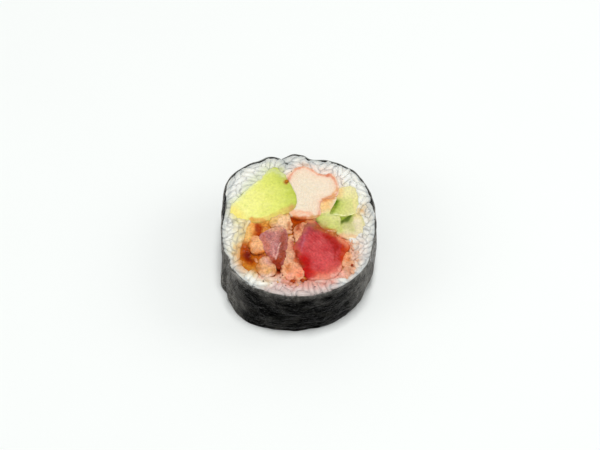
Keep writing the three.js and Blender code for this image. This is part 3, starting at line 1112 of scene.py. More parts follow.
@dataclass
class ScatterTree:
    """Geometry nodes that put a small body at every point of a mesh, turned and sized by attributes.

    Attributes:
        length_mm: Of the body.
        width_mm: Of the body.
        thickness_mm: Of the body.
    """

    # The smallest and largest share of its size that a body may have.
    SIZES: ClassVar[Pair] = (0.6, 1.5)
    # The two shape numbers of the tones' spread: most lie in the lower half.
    TONES: ClassVar[Pair] = (1.4, 2.6)

    length_mm: float
    width_mm: float
    thickness_mm: float

    def strew(self, name: str, place: Array, way: Array, rng: Chance) -> Object:
        """Makes one plain mesh of all the bodies.

        Args:
            name: The new object's name.
            place: The middle of each body, in millimetres.
            way: The direction of each body's length.
            rng: The source of chance.

        Returns:
            The bodies, each with its own "tone" from 0 to 1.
        """
        count = len(place)
        mesh = bpy.data.meshes.new(name)
        mesh.from_pydata((place * MM).tolist(), [], [])
        turns = [Vector(w).to_track_quat("Z", "X").to_matrix() for w in way]
        rolls = [Euler((0, 0, a)).to_matrix() for a in rng.uniform(0, 2 * math.pi, count)]
        angles = np.array([(t @ r).to_euler() for t, r in zip(turns, rolls)])
        sizes = rng.normal(1.0, self.variety(), (count, 3)).clip(*self.SIZES)
        put_attribute(mesh, "turn", angles)
        put_attribute(mesh, "size", sizes)
        put_attribute(mesh, "tone", rng.beta(*self.TONES, count))
        obj = new_object(name, mesh)
        tree = self.tree()
        modifier = obj.modifiers.new("Bodies", "NODES")
        modifier.node_group = tree
        values = self.inputs()
        for item in tree.interface.items_tree:
            if item.in_out == "INPUT" and item.name in values:
                modifier[item.identifier] = values[item.name]
        mesh = baked(obj)
        mesh.shade_smooth()
        return obj

    def variety(self) -> float:
        """How much one body differs in size from the next."""
        return 0.06

    def inputs(self) -> dict[str, Any]:
        """The tree's named inputs and their values."""
        sizes = {"Length": self.length_mm, "Width": self.width_mm, "Thickness": self.thickness_mm}
        return {name: size * MM for name, size in sizes.items()}

    def tree(self) -> Tree:
        """Builds the node tree.

        Returns:
            The tree, with its sizes as named inputs.
        """
        tree = bpy.data.node_groups.new(type(self).__name__, "GeometryNodeTree")
        tree.interface.new_socket("Geometry", in_out="INPUT", socket_type="NodeSocketGeometry")
        tree.interface.new_socket("Geometry", in_out="OUTPUT", socket_type="NodeSocketGeometry")
        kinds = {float: "NodeSocketFloat", int: "NodeSocketInt", bpy.types.Material: "NodeSocketMaterial"}
        for name, value in self.inputs().items():
            tree.interface.new_socket(name, in_out="INPUT", socket_type=kinds[type(value)])
        given = add(tree, "NodeGroupInput").node.outputs
        points = add(tree, "GeometryNodeMeshToPoints", {"Mesh": given["Geometry"]})
        turn, size = [
            add(tree, "GeometryNodeInputNamedAttribute", {"Name": name}, data_type="FLOAT_VECTOR")
            for name in ("turn", "size")
        ]
        spin = add(tree, "FunctionNodeEulerToRotation", {"Euler": turn})
        inputs = {"Points": points, "Instance": self.body(tree, given), "Rotation": spin, "Scale": size}
        placed = add(tree, "GeometryNodeInstanceOnPoints", inputs)
        real = add(tree, "GeometryNodeRealizeInstances", {"Geometry": placed})
        inputs = {"Geometry": self.roughen(tree, given, real), "Material": given["Material"]}
        dressed = add(tree, "GeometryNodeSetMaterial", inputs)
        add(tree, "NodeGroupOutput", {"Geometry": dressed})
        return tree

    def body(self, tree: Tree, given: Any) -> Socket:
        """Makes the body that is repeated, with its length along Z."""
        raise NotImplementedError

    def roughen(self, tree: Tree, given: Any, real: Socket) -> Socket:
        """Leaves the bodies as they are; a rougher kind overrides it."""
        return real


@dataclass
class GrainTree(ScatterTree):
    """A cooked grain of rice at every point.

    Attributes:
        sides: Faces round a grain.
        rings: Faces along a grain.
        bend_mm: How far its middle stands out from the line of its ends.
        blunt: How much fuller its ends are than a ball's.
    """

    sides: int = 10
    rings: int = 7
    bend_mm: float = 0.25
    blunt: float = 0.22

    def inputs(self) -> dict[str, Any]:
        """The tree's named inputs and their values."""
        more = {"Bend": self.bend_mm * MM, "Sides": self.sides, "Rings": self.rings}
        return {**super().inputs(), **more, "Material": CookedRice().material()}

    def body(self, tree: Tree, given: Any) -> Socket:
        """Makes one bowed grain.

        Args:
            tree: The nodes.
            given: The sockets of the named inputs.

        Returns:
            The grain's geometry.
        """
        inputs = {"Segments": given["Sides"], "Rings": given["Rings"], "Radius": 1.0}
        ball = add(tree, "GeometryNodeMeshUVSphere", inputs)
        place = add(tree, "GeometryNodeInputPosition")
        at = add(tree, "ShaderNodeSeparateXYZ", {0: place}).node.outputs
        square = product(tree, at["Z"], at["Z"])
        girth = add(tree, "ShaderNodeMath", {0: square, 1: self.blunt, 2: 1.0}, operation="MULTIPLY_ADD")
        bow = product(tree, square, given["Bend"])
        across = product(tree, at["X"], girth, given["Width"], 0.5)
        x = add(tree, "ShaderNodeMath", {0: across, 1: bow}, operation="ADD")
        y = product(tree, at["Y"], girth, given["Thickness"], 0.5)
        z = product(tree, at["Z"], given["Length"], 0.5)
        shape = add(tree, "ShaderNodeCombineXYZ", {"X": x, "Y": y, "Z": z})
        return add(tree, "GeometryNodeSetPosition", {"Geometry": ball, "Position": shape})


@dataclass
class ShredTree(ScatterTree):
    """A torn shred of fish at every point.

    Attributes:
        ragged_mm: How far its surface is torn in and out.
        tear_mm: How far apart the tears are.
        finish: Its surface.
    """

    ragged_mm: float = 0.28
    tear_mm: float = 0.7
    finish: Finish = SaucedShreds()

    def variety(self) -> float:
        """How much one shred differs in size from the next."""
        return 0.3

    def inputs(self) -> dict[str, Any]:
        """The tree's named inputs and their values."""
        more = {"Ragged": self.ragged_mm * MM, "Tear": self.tear_mm * MM}
        return {**super().inputs(), **more, "Material": self.finish.material()}

    def body(self, tree: Tree, given: Any) -> Socket:
        """Makes one smooth lump of 80 faces.

        Args:
            tree: The nodes.
            given: The sockets of the named inputs.

        Returns:
            The lump's geometry.
        """
        ball = add(tree, "GeometryNodeMeshIcoSphere", {"Radius": 0.5, "Subdivisions": 2})
        inputs = {"X": given["Width"], "Y": given["Thickness"], "Z": given["Length"]}
        scale = add(tree, "ShaderNodeCombineXYZ", inputs)
        return add(tree, "GeometryNodeTransform", {"Geometry": ball, "Scale": scale})

    def roughen(self, tree: Tree, given: Any, real: Socket) -> Socket:
        """Tears each shred differently.

        Args:
            tree: The nodes.
            given: The sockets of the named inputs.
            real: The smooth lumps.

        Returns:
            The shreds.
        """
        scale = add(tree, "ShaderNodeMath", {0: 1.0, 1: given["Tear"]}, operation="DIVIDE")
        at = add(tree, "GeometryNodeInputPosition")
        tears = add(tree, "ShaderNodeTexNoise", {"Vector": at, "Scale": scale, "Detail": 2.0}, out="Color")
        inputs = {0: tears, 1: (0.5,) * 3}
        centred = add(tree, "ShaderNodeVectorMath", inputs, operation="SUBTRACT")
        # The noise strays from its middle by a quarter at most, so four times that is the whole depth.
        inputs = {0: centred, "Scale": product(tree, given["Ragged"], 4.0)}
        offset = add(tree, "ShaderNodeVectorMath", inputs, operation="SCALE")
        return add(tree, "GeometryNodeSetPosition", {"Geometry": real, "Offset": offset})


# ---- Fillings ----


@dataclass
class Filling:
    """One filling, worked from a copy of its solid.

    Attributes:
        node: The frame node that it takes the place of.
        finish: Its surface.
        voxel_mm: Size of the mesh's cells.
        soften: Rounds of smoothing, which round its edges.
        swell_mm: How far it presses out towards its neighbours.
        lumps: Pairs of size and height, in millimetres, of the unevenness of the cut.
        broken: From 1, rolling, to 3, flat flakes with steep edges.
        skin: The side that has skin, as a line in plan.
        stains_and_painted_light: What soaked into it.
    """

    node: str
    finish: Finish
    voxel_mm: float = 0.27
    soften: int = 1
    swell_mm: float = 0.42
    lumps: tuple[Pair, ...] = ((5.0, 0.2), (1.6, 0.1))
    broken: float = 1.0
    skin: Line = ()
    stains_and_painted_light: tuple[StainAndPaintedLight, ...] = ()

    @property
    def slot(self) -> str:
        """A name for the piece's kind: its node's name without the number."""
        return self.node.rstrip("0123456789").rstrip("_")

    def build(self) -> Object:
        """Makes the finished piece.

        Returns:
            The piece, in place of its node.
        """
        obj = new_object(f"{self.node}_piece", merged_copy(self.node))
        remesh = obj.modifiers.new("Cells", "REMESH")
        remesh.mode = "VOXEL"
        remesh.voxel_size = self.voxel_mm * MM
        remesh.use_smooth_shade = True
        smooth = obj.modifiers.new("Soften", "SMOOTH")
        smooth.factor = 0.5
        smooth.iterations = self.soften
        mesh = baked(obj)
        points = self.shape(points_of(mesh), rows_of(mesh, "normal"))
        put_points(mesh, points)
        put_stains_and_painted_light(mesh, points, (*self.stains_and_painted_light, *SEEPS))
        if self.skin:
            put_attribute(mesh, "skin", distance_to_line(points[:, :2], self.skin))
        mesh.materials.append(self.finish.material())
        return obj

    def shape(self, points: Array, normals: Array) -> Array:
        """Presses the sides out and roughens the whole surface.

        Args:
            points: One row of three millimetres for each vertex.
            normals: One direction for each vertex.

        Returns:
            The new places of the vertices.
        """
        push = self.swell_mm * (1 - np.abs(normals[:, 2]))
        seed = float(sum(map(ord, self.node)) % 97)
        for size, height in self.lumps:
            push = push + height * np.clip(self.broken * mottle(points, size, seed + size), -1, 1)
        return points + normals * push[:, None]


@dataclass
class CrabStick(Filling):
    """The crab stick, whose cut shows the folds of the rolled sheet as low ridges.

    Attributes:
        fold_mm: How far apart the ridges are.
        fold_height_mm: How high they stand.
        waver_mm: How far they waver.
    """

    finish: Finish = CrabPaste()
    voxel_mm: float = 0.25
    fold_mm: float = 1.5
    fold_height_mm: float = 0.035
    waver_mm: float = 0.8

    def shape(self, points: Array, normals: Array) -> Array:
        """Adds the folds to the usual unevenness.

        Args:
            points: One row of three millimetres for each vertex.
            normals: One direction for each vertex.

        Returns:
            The new places of the vertices.
        """
        depth = distance_to_line(points[:, :2], self.skin) + self.waver_mm * mottle(points, 3.0, 8.0)
        fold = self.fold_height_mm * np.sin(2 * math.pi * depth / self.fold_mm) * np.abs(normals[:, 2])
        return super().shape(points, normals) + normals * fold[:, None]


@dataclass
class FishBit(Filling):
    """A bit of chopped fish, broken into flakes with steep edges instead of cut smooth."""

    finish: Finish = ChoppedFish()
    swell_mm: float = 0.25
    lumps: tuple[Pair, ...] = ((2.6, 0.3), (1.2, 0.16), (0.65, 0.08))
    broken: float = 3.0


@dataclass
class SaucePocket(Filling):
    """A pocket of sauce between the pieces of fish, with a lumpy wet top and hollows in it.

    Attributes:
        hollows: x, y, reach and depth of each hollow, in millimetres.
        fade_mm: Below the cut, where they have no depth left and where they have it all.
    """

    finish: Finish = ChilliSauce()
    voxel_mm: float = 0.28
    lumps: tuple[Pair, ...] = ((3.0, 0.35), (1.1, 0.34))
    hollows: tuple[tuple[float, float, float, float], ...] = (
        (-15.2, -11.8, 1.8, 0.9), (-12.4, -2.4, 1.5, 0.6), (0.2, 1.6, 1.7, 0.9),
        (-1.2, -0.8, 0.9, 0.8), (-5.8, -16.6, 1.3, 0.8),
    )
    fade_mm: Pair = (4.0, 1.0)
    stains_and_painted_light: tuple[StainAndPaintedLight, ...] = (
        StainAndPaintedLight(((-15.8, 1.6), (-16.2, -6.0)), 2.0, "ECBB70", 0.9),
        StainAndPaintedLight(((-18.8, -3.0), (-18.6, -8.0)), 1.6, "E5C891"),
        StainAndPaintedLight(((-16.6, -8.2), (-17.8, -10.8)), 1.8, "C37108", 0.9),
        StainAndPaintedLight(((-16.6, -14.2), (-12.6, -16.6)), 2.2, "C7740A", 0.95),
        StainAndPaintedLight(((-16.4, -9.4), (-15.2, -13.0)), 2.5, "A63800", 0.95),
        StainAndPaintedLight(((-15.5, -11.0), (-14.9, -12.3)), 1.3, "6E0800", 1.0, 3.0),
        StainAndPaintedLight(((-12.6, -0.8), (-12.3, -4.4)), 1.6, "A83800", 1.0),
        StainAndPaintedLight(((-14.4, -0.2), (-14.3, -1.8)), 0.9, "F4A858", 0.9),
        StainAndPaintedLight(((-13.6, -11.9), (-11.4, -11.8)), 1.2, "C36510", 0.95),
        StainAndPaintedLight(((-1.4, 1.9), (1.4, 1.3)), 1.8, "AC3C00", 1.0),
        StainAndPaintedLight(((-1.4, -0.2), (-1.1, -3.4)), 1.2, "A44A00", 0.95),
        StainAndPaintedLight(((-6.2, -15.2), (-5.7, -17.6)), 1.5, "902A00", 1.0),
        StainAndPaintedLight(((18.2, -7.0), (18.6, -14.0), (16.8, -19.6)), 2.2, "E9BBA0", 0.95),
        StainAndPaintedLight(((2.6, -21.8), (12.4, -21.4)), 1.8, "E1A48D", 0.95),
        StainAndPaintedLight(((9.0, -3.1), (14.8, -5.6)), 1.0, "C35A20", 0.9),
        StainAndPaintedLight(((-1.3, -20.9),), 0.95, "A42F00", 0.95),
        StainAndPaintedLight(((0.9, -20.5), (1.9, -20.9)), 0.9, "CA4A26", 0.95),
        StainAndPaintedLight(((16.6, -14.2), (17.8, -15.8)), 0.55, "913C00", 0.9),
    )

    def shape(self, points: Array, normals: Array) -> Array:
        """Presses hollows into the upper side, over the usual unevenness.

        Args:
            points: One row of three millimetres for each vertex.
            normals: One direction for each vertex.

        Returns:
            The new places of the vertices.
        """
        points = super().shape(points, normals)
        share = rise(height_mm() - points[:, 2], *self.fade_mm)
        for x, y, reach, depth in self.hollows:
            away = np.hypot(points[:, 0] - x, points[:, 1] - y) / reach
            points[:, 2] -= depth * share * np.exp(-(away**2))
        return points


# Every filling but the sauce, with what soaked into it or shows through it.
FILLINGS = (
    Filling("tuna_large", Flesh(), stains_and_painted_light=(
        StainAndPaintedLight(((6.0, -11.0), (9.0, -15.0)), 3.2, "D85656", 0.55),
        StainAndPaintedLight(((0.8, -7.6), (1.8, -3.6), (4.2, -1.4)), 1.7, "A34450", 0.6),
        StainAndPaintedLight(((5.0, -2.2), (6.8, -3.2)), 1.0, "A03832", 0.65),
        StainAndPaintedLight(((3.6, -0.2), (6.0, -1.2)), 0.7, "96543F", 0.6),
        StainAndPaintedLight(((-0.8, -7.6), (1.0, -11.6)), 0.8, "B9533E", 0.75),
        StainAndPaintedLight(((2.6, -4.2), (1.6, -10.4)), 0.4, "B8606C", 0.5),
        StainAndPaintedLight(((10.4, -5.8), (12.4, -9.4)), 1.3, "A01414", 0.75),
        StainAndPaintedLight(((12.4, -8.4), (12.0, -13.6)), 0.35, "A01208", 0.7),
        StainAndPaintedLight(((2.2, -12.6), (3.4, -15.6), (4.6, -18.4)), 0.4, "980C04", 0.6),
        StainAndPaintedLight(((9.0, -4.6), (14.6, -7.2)), 1.6, "A81500"),
        StainAndPaintedLight(((15.6, -8.0), (14.2, -13.0)), 1.7, "AE1500", 0.95),
        StainAndPaintedLight(((16.6, -7.4), (15.3, -11.6), (14.4, -14.4)), 0.7, "C84F10", 0.85),
        StainAndPaintedLight(((7.4, -2.0), (14.8, -5.7)), 0.6, "C15A2F"),
        StainAndPaintedLight(((4.8, -0.3), (6.6, -1.4)), 0.6, "9C613C", 0.7),
        StainAndPaintedLight(((0.3, -6.6), (0.9, -4.4), (2.2, -2.8), (2.8, -1.4)), 0.6, "BA6653", 0.75),
        StainAndPaintedLight(((1.9, -13.4), (3.4, -18.8)), 2.2, "B40500", 1.0),
        StainAndPaintedLight(((4.4, -17.6), (6.2, -18.8)), 1.0, "C8241A", 0.7),
        StainAndPaintedLight(((6.6, -18.9), (10.0, -18.9)), 1.5, "D9614C", 0.85),
        StainAndPaintedLight(((6.4, -20.4), (12.6, -20.2)), 0.9, "E29A81", 0.9),
        StainAndPaintedLight(((12.2, -17.6),), 2.6, "D36555"),
        StainAndPaintedLight(((14.4, -17.0), (13.4, -19.4)), 1.1, "E1917A", 0.85),
    )),
    Filling("tuna_small", SearedTuna(), stains_and_painted_light=(
        StainAndPaintedLight(((-9.0, -1.9), (-5.0, -2.0)), 1.3, "D19A7A"),
        StainAndPaintedLight(((-11.2, -6.0), (-9.4, -10.0)), 1.2, "CA7A65", 0.6),
        StainAndPaintedLight(((-4.4, -4.4), (-4.6, -12.0)), 1.5, "96452F", 0.85),
        StainAndPaintedLight(((-10.6, -5.0), (-9.0, -8.4)), 1.2, "B26250", 0.6),
        StainAndPaintedLight(((-6.2, -3.6), (-8.4, -6.8)), 1.1, "CB897A", 0.5),
        StainAndPaintedLight(((-6.2, -13.6),), 1.7, "9E3C15", 0.9),
        StainAndPaintedLight(((-8.9, -10.9), (-8.1, -12.8)), 0.6, "AE5244", 0.7),
        StainAndPaintedLight(((-5.9, -15.8),), 1.9, "8C2200", 1.0),
        StainAndPaintedLight(((-5.2, -7.4), (-6.1, -9.8), (-6.5, -11.9), (-7.0, -13.5)), 0.24, "E9B5A8", 0.85, 3.0),
        StainAndPaintedLight(((-7.7, -9.2), (-7.3, -12.2)), 0.24, "DFA094", 0.7, 3.0),
        StainAndPaintedLight(((-6.9, -12.6),), 0.5, "E5ACA0", 0.6),
    )),
    Filling("avocado", RipeAvocado(), lumps=((3.4, 0.4), (1.3, 0.18)), skin=(
        (-5.6, 21.0), (-1.6, 14.5), (0.2, 9.5), (-0.2, 5.2),
    ), stains_and_painted_light=(
        StainAndPaintedLight(((-21.4, 5.6), (-18.6, 2.4)), 2.6, "F2E37C", 0.85),
        StainAndPaintedLight(((-15.0, 0.8), (-9.0, 2.2)), 0.9, "E5CA67", 0.7),
        StainAndPaintedLight(((-8.0, 2.6), (-3.6, 5.2)), 1.3, "DBC965"),
        StainAndPaintedLight(((-2.4, 4.9), (-1.2, 6.4)), 1.2, "CAA157", 0.85),
        StainAndPaintedLight(((-21.5, 8.0), (-16.2, 13.2), (-10.0, 20.4)), 1.5, "E7ECBB", 0.75),
        StainAndPaintedLight(((-9.2, 20.6), (-5.8, 19.4), (-4.2, 18.0)), 1.3, "CFD692"),
        StainAndPaintedLight(((-3.7, 15.7),), 0.95, "B8701E", 0.95),
    )),
    CrabStick("crab_stick", skin=(
        (-3.4, 15.5), (-2.0, 18.2), (-0.6, 20.4), (2.0, 21.2), (4.4, 20.4), (6.6, 18.7),
        (8.6, 18.2), (10.6, 18.6), (12.3, 16.2), (13.2, 13.1), (13.0, 11.2), (11.6, 10.2),
        (9.0, 9.5), (7.5, 7.8), (7.3, 5.0), (6.9, 2.2), (4.7, 1.7), (0.6, 1.8),
    ), stains_and_painted_light=(
        StainAndPaintedLight(((9.9, 17.9),), 1.0, "DF8565", 0.85),
        StainAndPaintedLight(((-3.6, 15.0), (-3.0, 11.0), (-2.6, 7.0)), 1.2, "F0DDC6", 0.9),
        StainAndPaintedLight(((-3.9, 15.8),), 1.2, "E8A677"),
        StainAndPaintedLight(((-2.2, 4.6), (-0.8, 3.4)), 1.1, "F2B989"),
        StainAndPaintedLight(((-1.2, 2.4), (4.4, 1.9)), 0.75, "DB8A55", 0.6),
        StainAndPaintedLight(((5.0, 2.4), (6.6, 2.6)), 0.9, "CF9A57", 0.85),
        StainAndPaintedLight(((8.2, 9.2), (12.4, 10.2)), 0.6, "DE9A68"),
        StainAndPaintedLight(((12.8, 13.4), (11.9, 10.6)), 0.7, "E4AB70", 0.65),
        StainAndPaintedLight(((-1.6, 4.2), (4.2, 3.8)), 1.0, "F4BC9A", 0.75),
        StainAndPaintedLight(((-0.9, 1.9), (2.3, 1.8)), 0.8, "CA6422", 0.9, 3.0),
    )),
    Filling("cucumber_1", CutCucumber(), skin=((13.0, 8.8), (12.1, 6.6), (10.9, 4.3)), stains_and_painted_light=(
        StainAndPaintedLight(((14.4, 13.0), (18.4, 13.0)), 2.6, "E5DEA8", 0.85),
        StainAndPaintedLight(((15.0, 10.6), (18.4, 10.6)), 1.7, "E9E1A2", 0.75),
        StainAndPaintedLight(((18.6, 9.0), (18.8, 4.4)), 0.9, "E7DC96", 0.75),
        StainAndPaintedLight(((13.8, 12.4), (13.4, 10.6)), 1.2, "EEC785", 0.85),
        StainAndPaintedLight(((14.0, 9.2),), 1.1, "D6CF7C", 0.6),
        StainAndPaintedLight(((12.7, 8.2), (11.9, 6.5)), 0.75, "618100", 0.95, 3.0),
        StainAndPaintedLight(((12.0, 6.4), (11.0, 4.6)), 0.6, "91982F", 0.85, 3.0),
    )),
    Filling("cucumber_2", CutCucumber(), skin=((5.4, 1.8), (6.9, -0.6), (9.0, -2.4)), stains_and_painted_light=(
        StainAndPaintedLight(((7.6, 1.0), (9.4, 0.0)), 1.3, "CBC37A", 0.7),
        StainAndPaintedLight(((8.6, -2.2), (12.8, -2.8)), 1.0, "C17A2F", 0.85),
        StainAndPaintedLight(((5.4, 1.6), (6.4, 0.1)), 0.8, "4E4500", 0.95, 3.0),
        StainAndPaintedLight(((7.0, -0.6), (8.8, -1.4)), 0.8, "AC914A"),
    )),
    Filling("cucumber_3", SeedyCucumber(), skin=((13.2, 1.9), (15.9, 1.8), (17.8, 3.0)), stains_and_painted_light=(
        StainAndPaintedLight(((13.8, -0.5), (14.0, -3.0)), 1.4, "C5C969", 0.7),
        StainAndPaintedLight(((19.2, 4.2), (19.6, 2.4)), 1.4, "E9D48E", 0.85),
        StainAndPaintedLight(((19.4, 1.0), (19.4, -1.6)), 1.6, "E4D8B4", 0.85),
        StainAndPaintedLight(((16.2, -0.2), (17.6, -2.2)), 1.2, "C9C587"),
        StainAndPaintedLight(((14.6, -4.6), (18.4, -4.8)), 1.2, "E5C194"),
        StainAndPaintedLight(((14.5, 0.5), (15.7, 1.2), (17.0, 2.6)), 0.8, "576A06", 0.95, 3.0),
    )),
    # Cut from the seeds: its peel would lie far to the right.
    Filling("cucumber_4", SeedyCucumber(), skin=((30.0, 7.0), (30.0, 8.0)), stains_and_painted_light=(
        StainAndPaintedLight(((9.0, 7.2),), 3.4, "F3C786", 0.9),
        StainAndPaintedLight(((9.8, 4.0),), 1.4, "D6D888", 0.75),
        StainAndPaintedLight(((7.3, 4.9),), 1.0, "E5B97A", 0.75),
        StainAndPaintedLight(((7.8, 8.8), (11.8, 10.0)), 0.9, "DE8A50"),
    )),
    FishBit("fish_bit_1", stains_and_painted_light=(
        StainAndPaintedLight(((-12.8, -7.4),), 4.0, "F0B27A", 0.7),
        StainAndPaintedLight(((-13.8, -4.4), (-12.0, -3.8)), 0.9, "DB874A", 0.7),
        StainAndPaintedLight(((-13.6, -11.4), (-10.4, -10.6)), 1.0, "CB7019", 0.85),
        StainAndPaintedLight(((-15.2, -6.0), (-15.2, -9.6)), 0.8, "D3823A"),
        StainAndPaintedLight(((-15.9, -6.8), (-15.4, -9.4)), 0.7, "BA641E", 0.9),
        StainAndPaintedLight(((-12.2, -8.4),), 1.0, "F2B684", 0.6),
    )),
    FishBit("fish_bit_2", stains_and_painted_light=(
        StainAndPaintedLight(((-9.3, -16.2),), 4.0, "DFA676"),
        StainAndPaintedLight(((-9.9, -13.6), (-8.8, -14.2)), 1.1, "D29C92", 0.75),
        StainAndPaintedLight(((-9.2, -17.6),), 1.3, "DCA965", 0.7),
        StainAndPaintedLight(((-12.2, -14.2), (-12.2, -16.6)), 0.8, "C37835", 0.85),
        StainAndPaintedLight(((-7.0, -17.6),), 1.0, "CB8745", 0.7),
    )),
    FishBit("fish_bit_3", stains_and_painted_light=(
        StainAndPaintedLight(((-5.0, 1.2),), 4.2, "EEC79A", 0.85),
        StainAndPaintedLight(((-7.0, -1.0), (-5.2, -1.6)), 1.0, "CFA084", 0.7),
        StainAndPaintedLight(((-4.4, 3.4),), 1.3, "EFC88D", 0.7),
        StainAndPaintedLight(((-3.2, 3.8), (-4.2, 4.6)), 0.8, "C18634", 0.85),
        StainAndPaintedLight(((-10.6, -0.2), (-9.0, -0.6)), 1.5, "C17623", 0.95),
        StainAndPaintedLight(((-9.2, 0.8), (-7.6, 1.2)), 1.0, "D3AC58"),
        StainAndPaintedLight(((-2.6, 0.4), (-2.6, -2.2)), 0.8, "C57645", 0.7),
    )),
    FishBit("fish_bit_4", stains_and_painted_light=(
        StainAndPaintedLight(((-1.6, -8.0),), 3.4, "DA987A", 0.85),
        StainAndPaintedLight(((-2.6, -12.6),), 2.0, "D6A080", 0.65),
        StainAndPaintedLight(((-0.8, -17.6),), 3.2, "E89A74"),
        StainAndPaintedLight(((-0.7, -7.6), (-0.4, -11.0)), 0.7, "BB5A3C", 0.85),
        StainAndPaintedLight(((-1.7, -9.5),), 1.1, "CF7F62", 0.6),
        StainAndPaintedLight(((-3.0, -15.6), (-2.9, -17.4)), 1.0, "C97943", 0.85),
        StainAndPaintedLight(((1.4, -17.2),), 1.2, "F49A78"),
        StainAndPaintedLight(((0.9, -19.0),), 0.9, "E57A5A", 0.75),
        StainAndPaintedLight(((-2.4, -19.6),), 1.2, "F2A48D", 0.7),
    )),
    FishBit("fish_bit_5", stains_and_painted_light=(StainAndPaintedLight(((1.0, -2.5),), 3.0, "DB8F67", 0.85),)),
    FishBit("fish_bit_6", swell_mm=0.42, lumps=((2.0, 0.3), (0.9, 0.15)), broken=1.0, stains_and_painted_light=(
        StainAndPaintedLight(((15.8, -11.4),), 2.4, "E19463"),
        StainAndPaintedLight(((14.6, -12.8),), 1.0, "F18D67", 0.85),
        StainAndPaintedLight(((16.4, -13.4),), 0.8, "C9743E", 0.85),
        StainAndPaintedLight(((16.9, -12.6),), 0.45, "9C4A10", 0.85),
    )),
    FishBit("fish_bit_7", stains_and_painted_light=(
        StainAndPaintedLight(((15.6, -18.0),), 2.8, "DFA88D", 0.9),
        StainAndPaintedLight(((16.0, -16.9),), 1.0, "D09474"),
    )),
)


@dataclass
class Shreds:
    """Small shreds of fish strewn through the sauce at both cuts.

    Attributes:
        tree: What makes one of them.
        spacing_mm: How close together they may lie.
        past_rim_mm: How far they lie over the rim of the sauce.
        over_bits_mm: How far they lie over the larger bits of fish.
        over_solid_mm: How far they lie over the other fillings.
        lanes: Lines in plan that they lie along, and how far from each.
        rise_mm: How high they lie over the upper cut, lowest and highest.
        low_mm: The height of those at the lower cut.
        tilt: How far they point up or down, beside how far they point sideways.
        dyed: The share of the sauce's own stains that shows on them.
        tries: How many places are tried.
        seed: Of everything random.
    """

    tree: ShredTree = field(default_factory=lambda: ShredTree(2.0, 1.3, 0.8))
    spacing_mm: float = 1.25
    past_rim_mm: float = 0.6
    over_bits_mm: float = 0.5
    over_solid_mm: float = 0.1
    lanes: tuple[tuple[Line, float], ...] = (
        (((6.6, -1.6), (15.6, -6.0)), 1.2),
        (((17.6, -7.4), (18.8, -12.0), (17.4, -19.0)), 1.6),
        (((1.0, -21.0), (-3.0, -20.6)), 1.2),
        (((-4.4, -19.6), (-4.0, -14.6)), 0.7),
        (((-2.6, -1.4), (-2.4, -4.6)), 0.7),
        (((-12.6, -13.0), (-9.6, -19.4)), 0.6),
    )
    rise_mm: Pair = (-0.46, -0.16)
    low_mm: float = 0.3
    tilt: float = 0.25
    dyed: float = 0.6
    tries: int = 9000
    seed: int = 5

    def build(self) -> Object:
        """Makes all the shreds.

        Returns:
            The shreds at both cuts as one mesh.
        """
        rng = np.random.default_rng(self.seed)
        top = height_mm()
        upper = self.strewn(top - NEAR_CUT_MM, rng)
        lower = self.strewn(NEAR_CUT_MM, rng)
        heights = top + rng.uniform(*self.rise_mm, len(upper))
        low = np.full(len(lower), self.low_mm)
        place = np.vstack([np.column_stack([upper, heights]), np.column_stack([lower, low])])
        way = rng.normal(size=(len(place), 3)) * (1, 1, self.tilt)
        obj = self.tree.strew("fish_shreds", place, way, rng)
        points = points_of(obj.data)
        put_points(obj.data, points)
        faint = [replace(stain, strength=self.dyed * stain.strength) for stain in SaucePocket.stains_and_painted_light]
        put_stains_and_painted_light(obj.data, points, (*faint, *SEEPS))
        return obj

    def strewn(self, level_mm: float, rng: Chance) -> Array:
        """Chooses places in the sauce beside one cut.

        Args:
            level_mm: The height at which the frame's outlines are read.
            rng: The source of chance.

        Returns:
            One row of x and y in millimetres for each shred.
        """
        rims = [max(plan_loops(node, level_mm), key=area_of) for node in SAUCE]
        low, high = np.min([r.min(0) for r in rims], 0), np.max([r.max(0) for r in rims], 0)
        spots = rng.uniform(low - 1, high + 1, (self.tries, 2))
        room = np.max([depth_inside(spots, rim) for rim in rims], 0) + self.past_rim_mm
        for node in SOLID:
            reach = self.over_bits_mm if node.startswith("fish_bit") else self.over_solid_mm
            for loop in plan_loops(node, level_mm):
                room = np.minimum(room, reach - depth_inside(spots, loop))
        lanes = [width - distance_to_line(spots, line) for line, width in self.lanes]
        room = np.minimum(room, np.max(lanes, 0))
        kept: list[Array] = []
        for spot in spots[room > 0]:
            if all(np.hypot(*(spot - other)) > self.spacing_mm for other in kept):
                kept.append(spot)
        return np.array(kept)


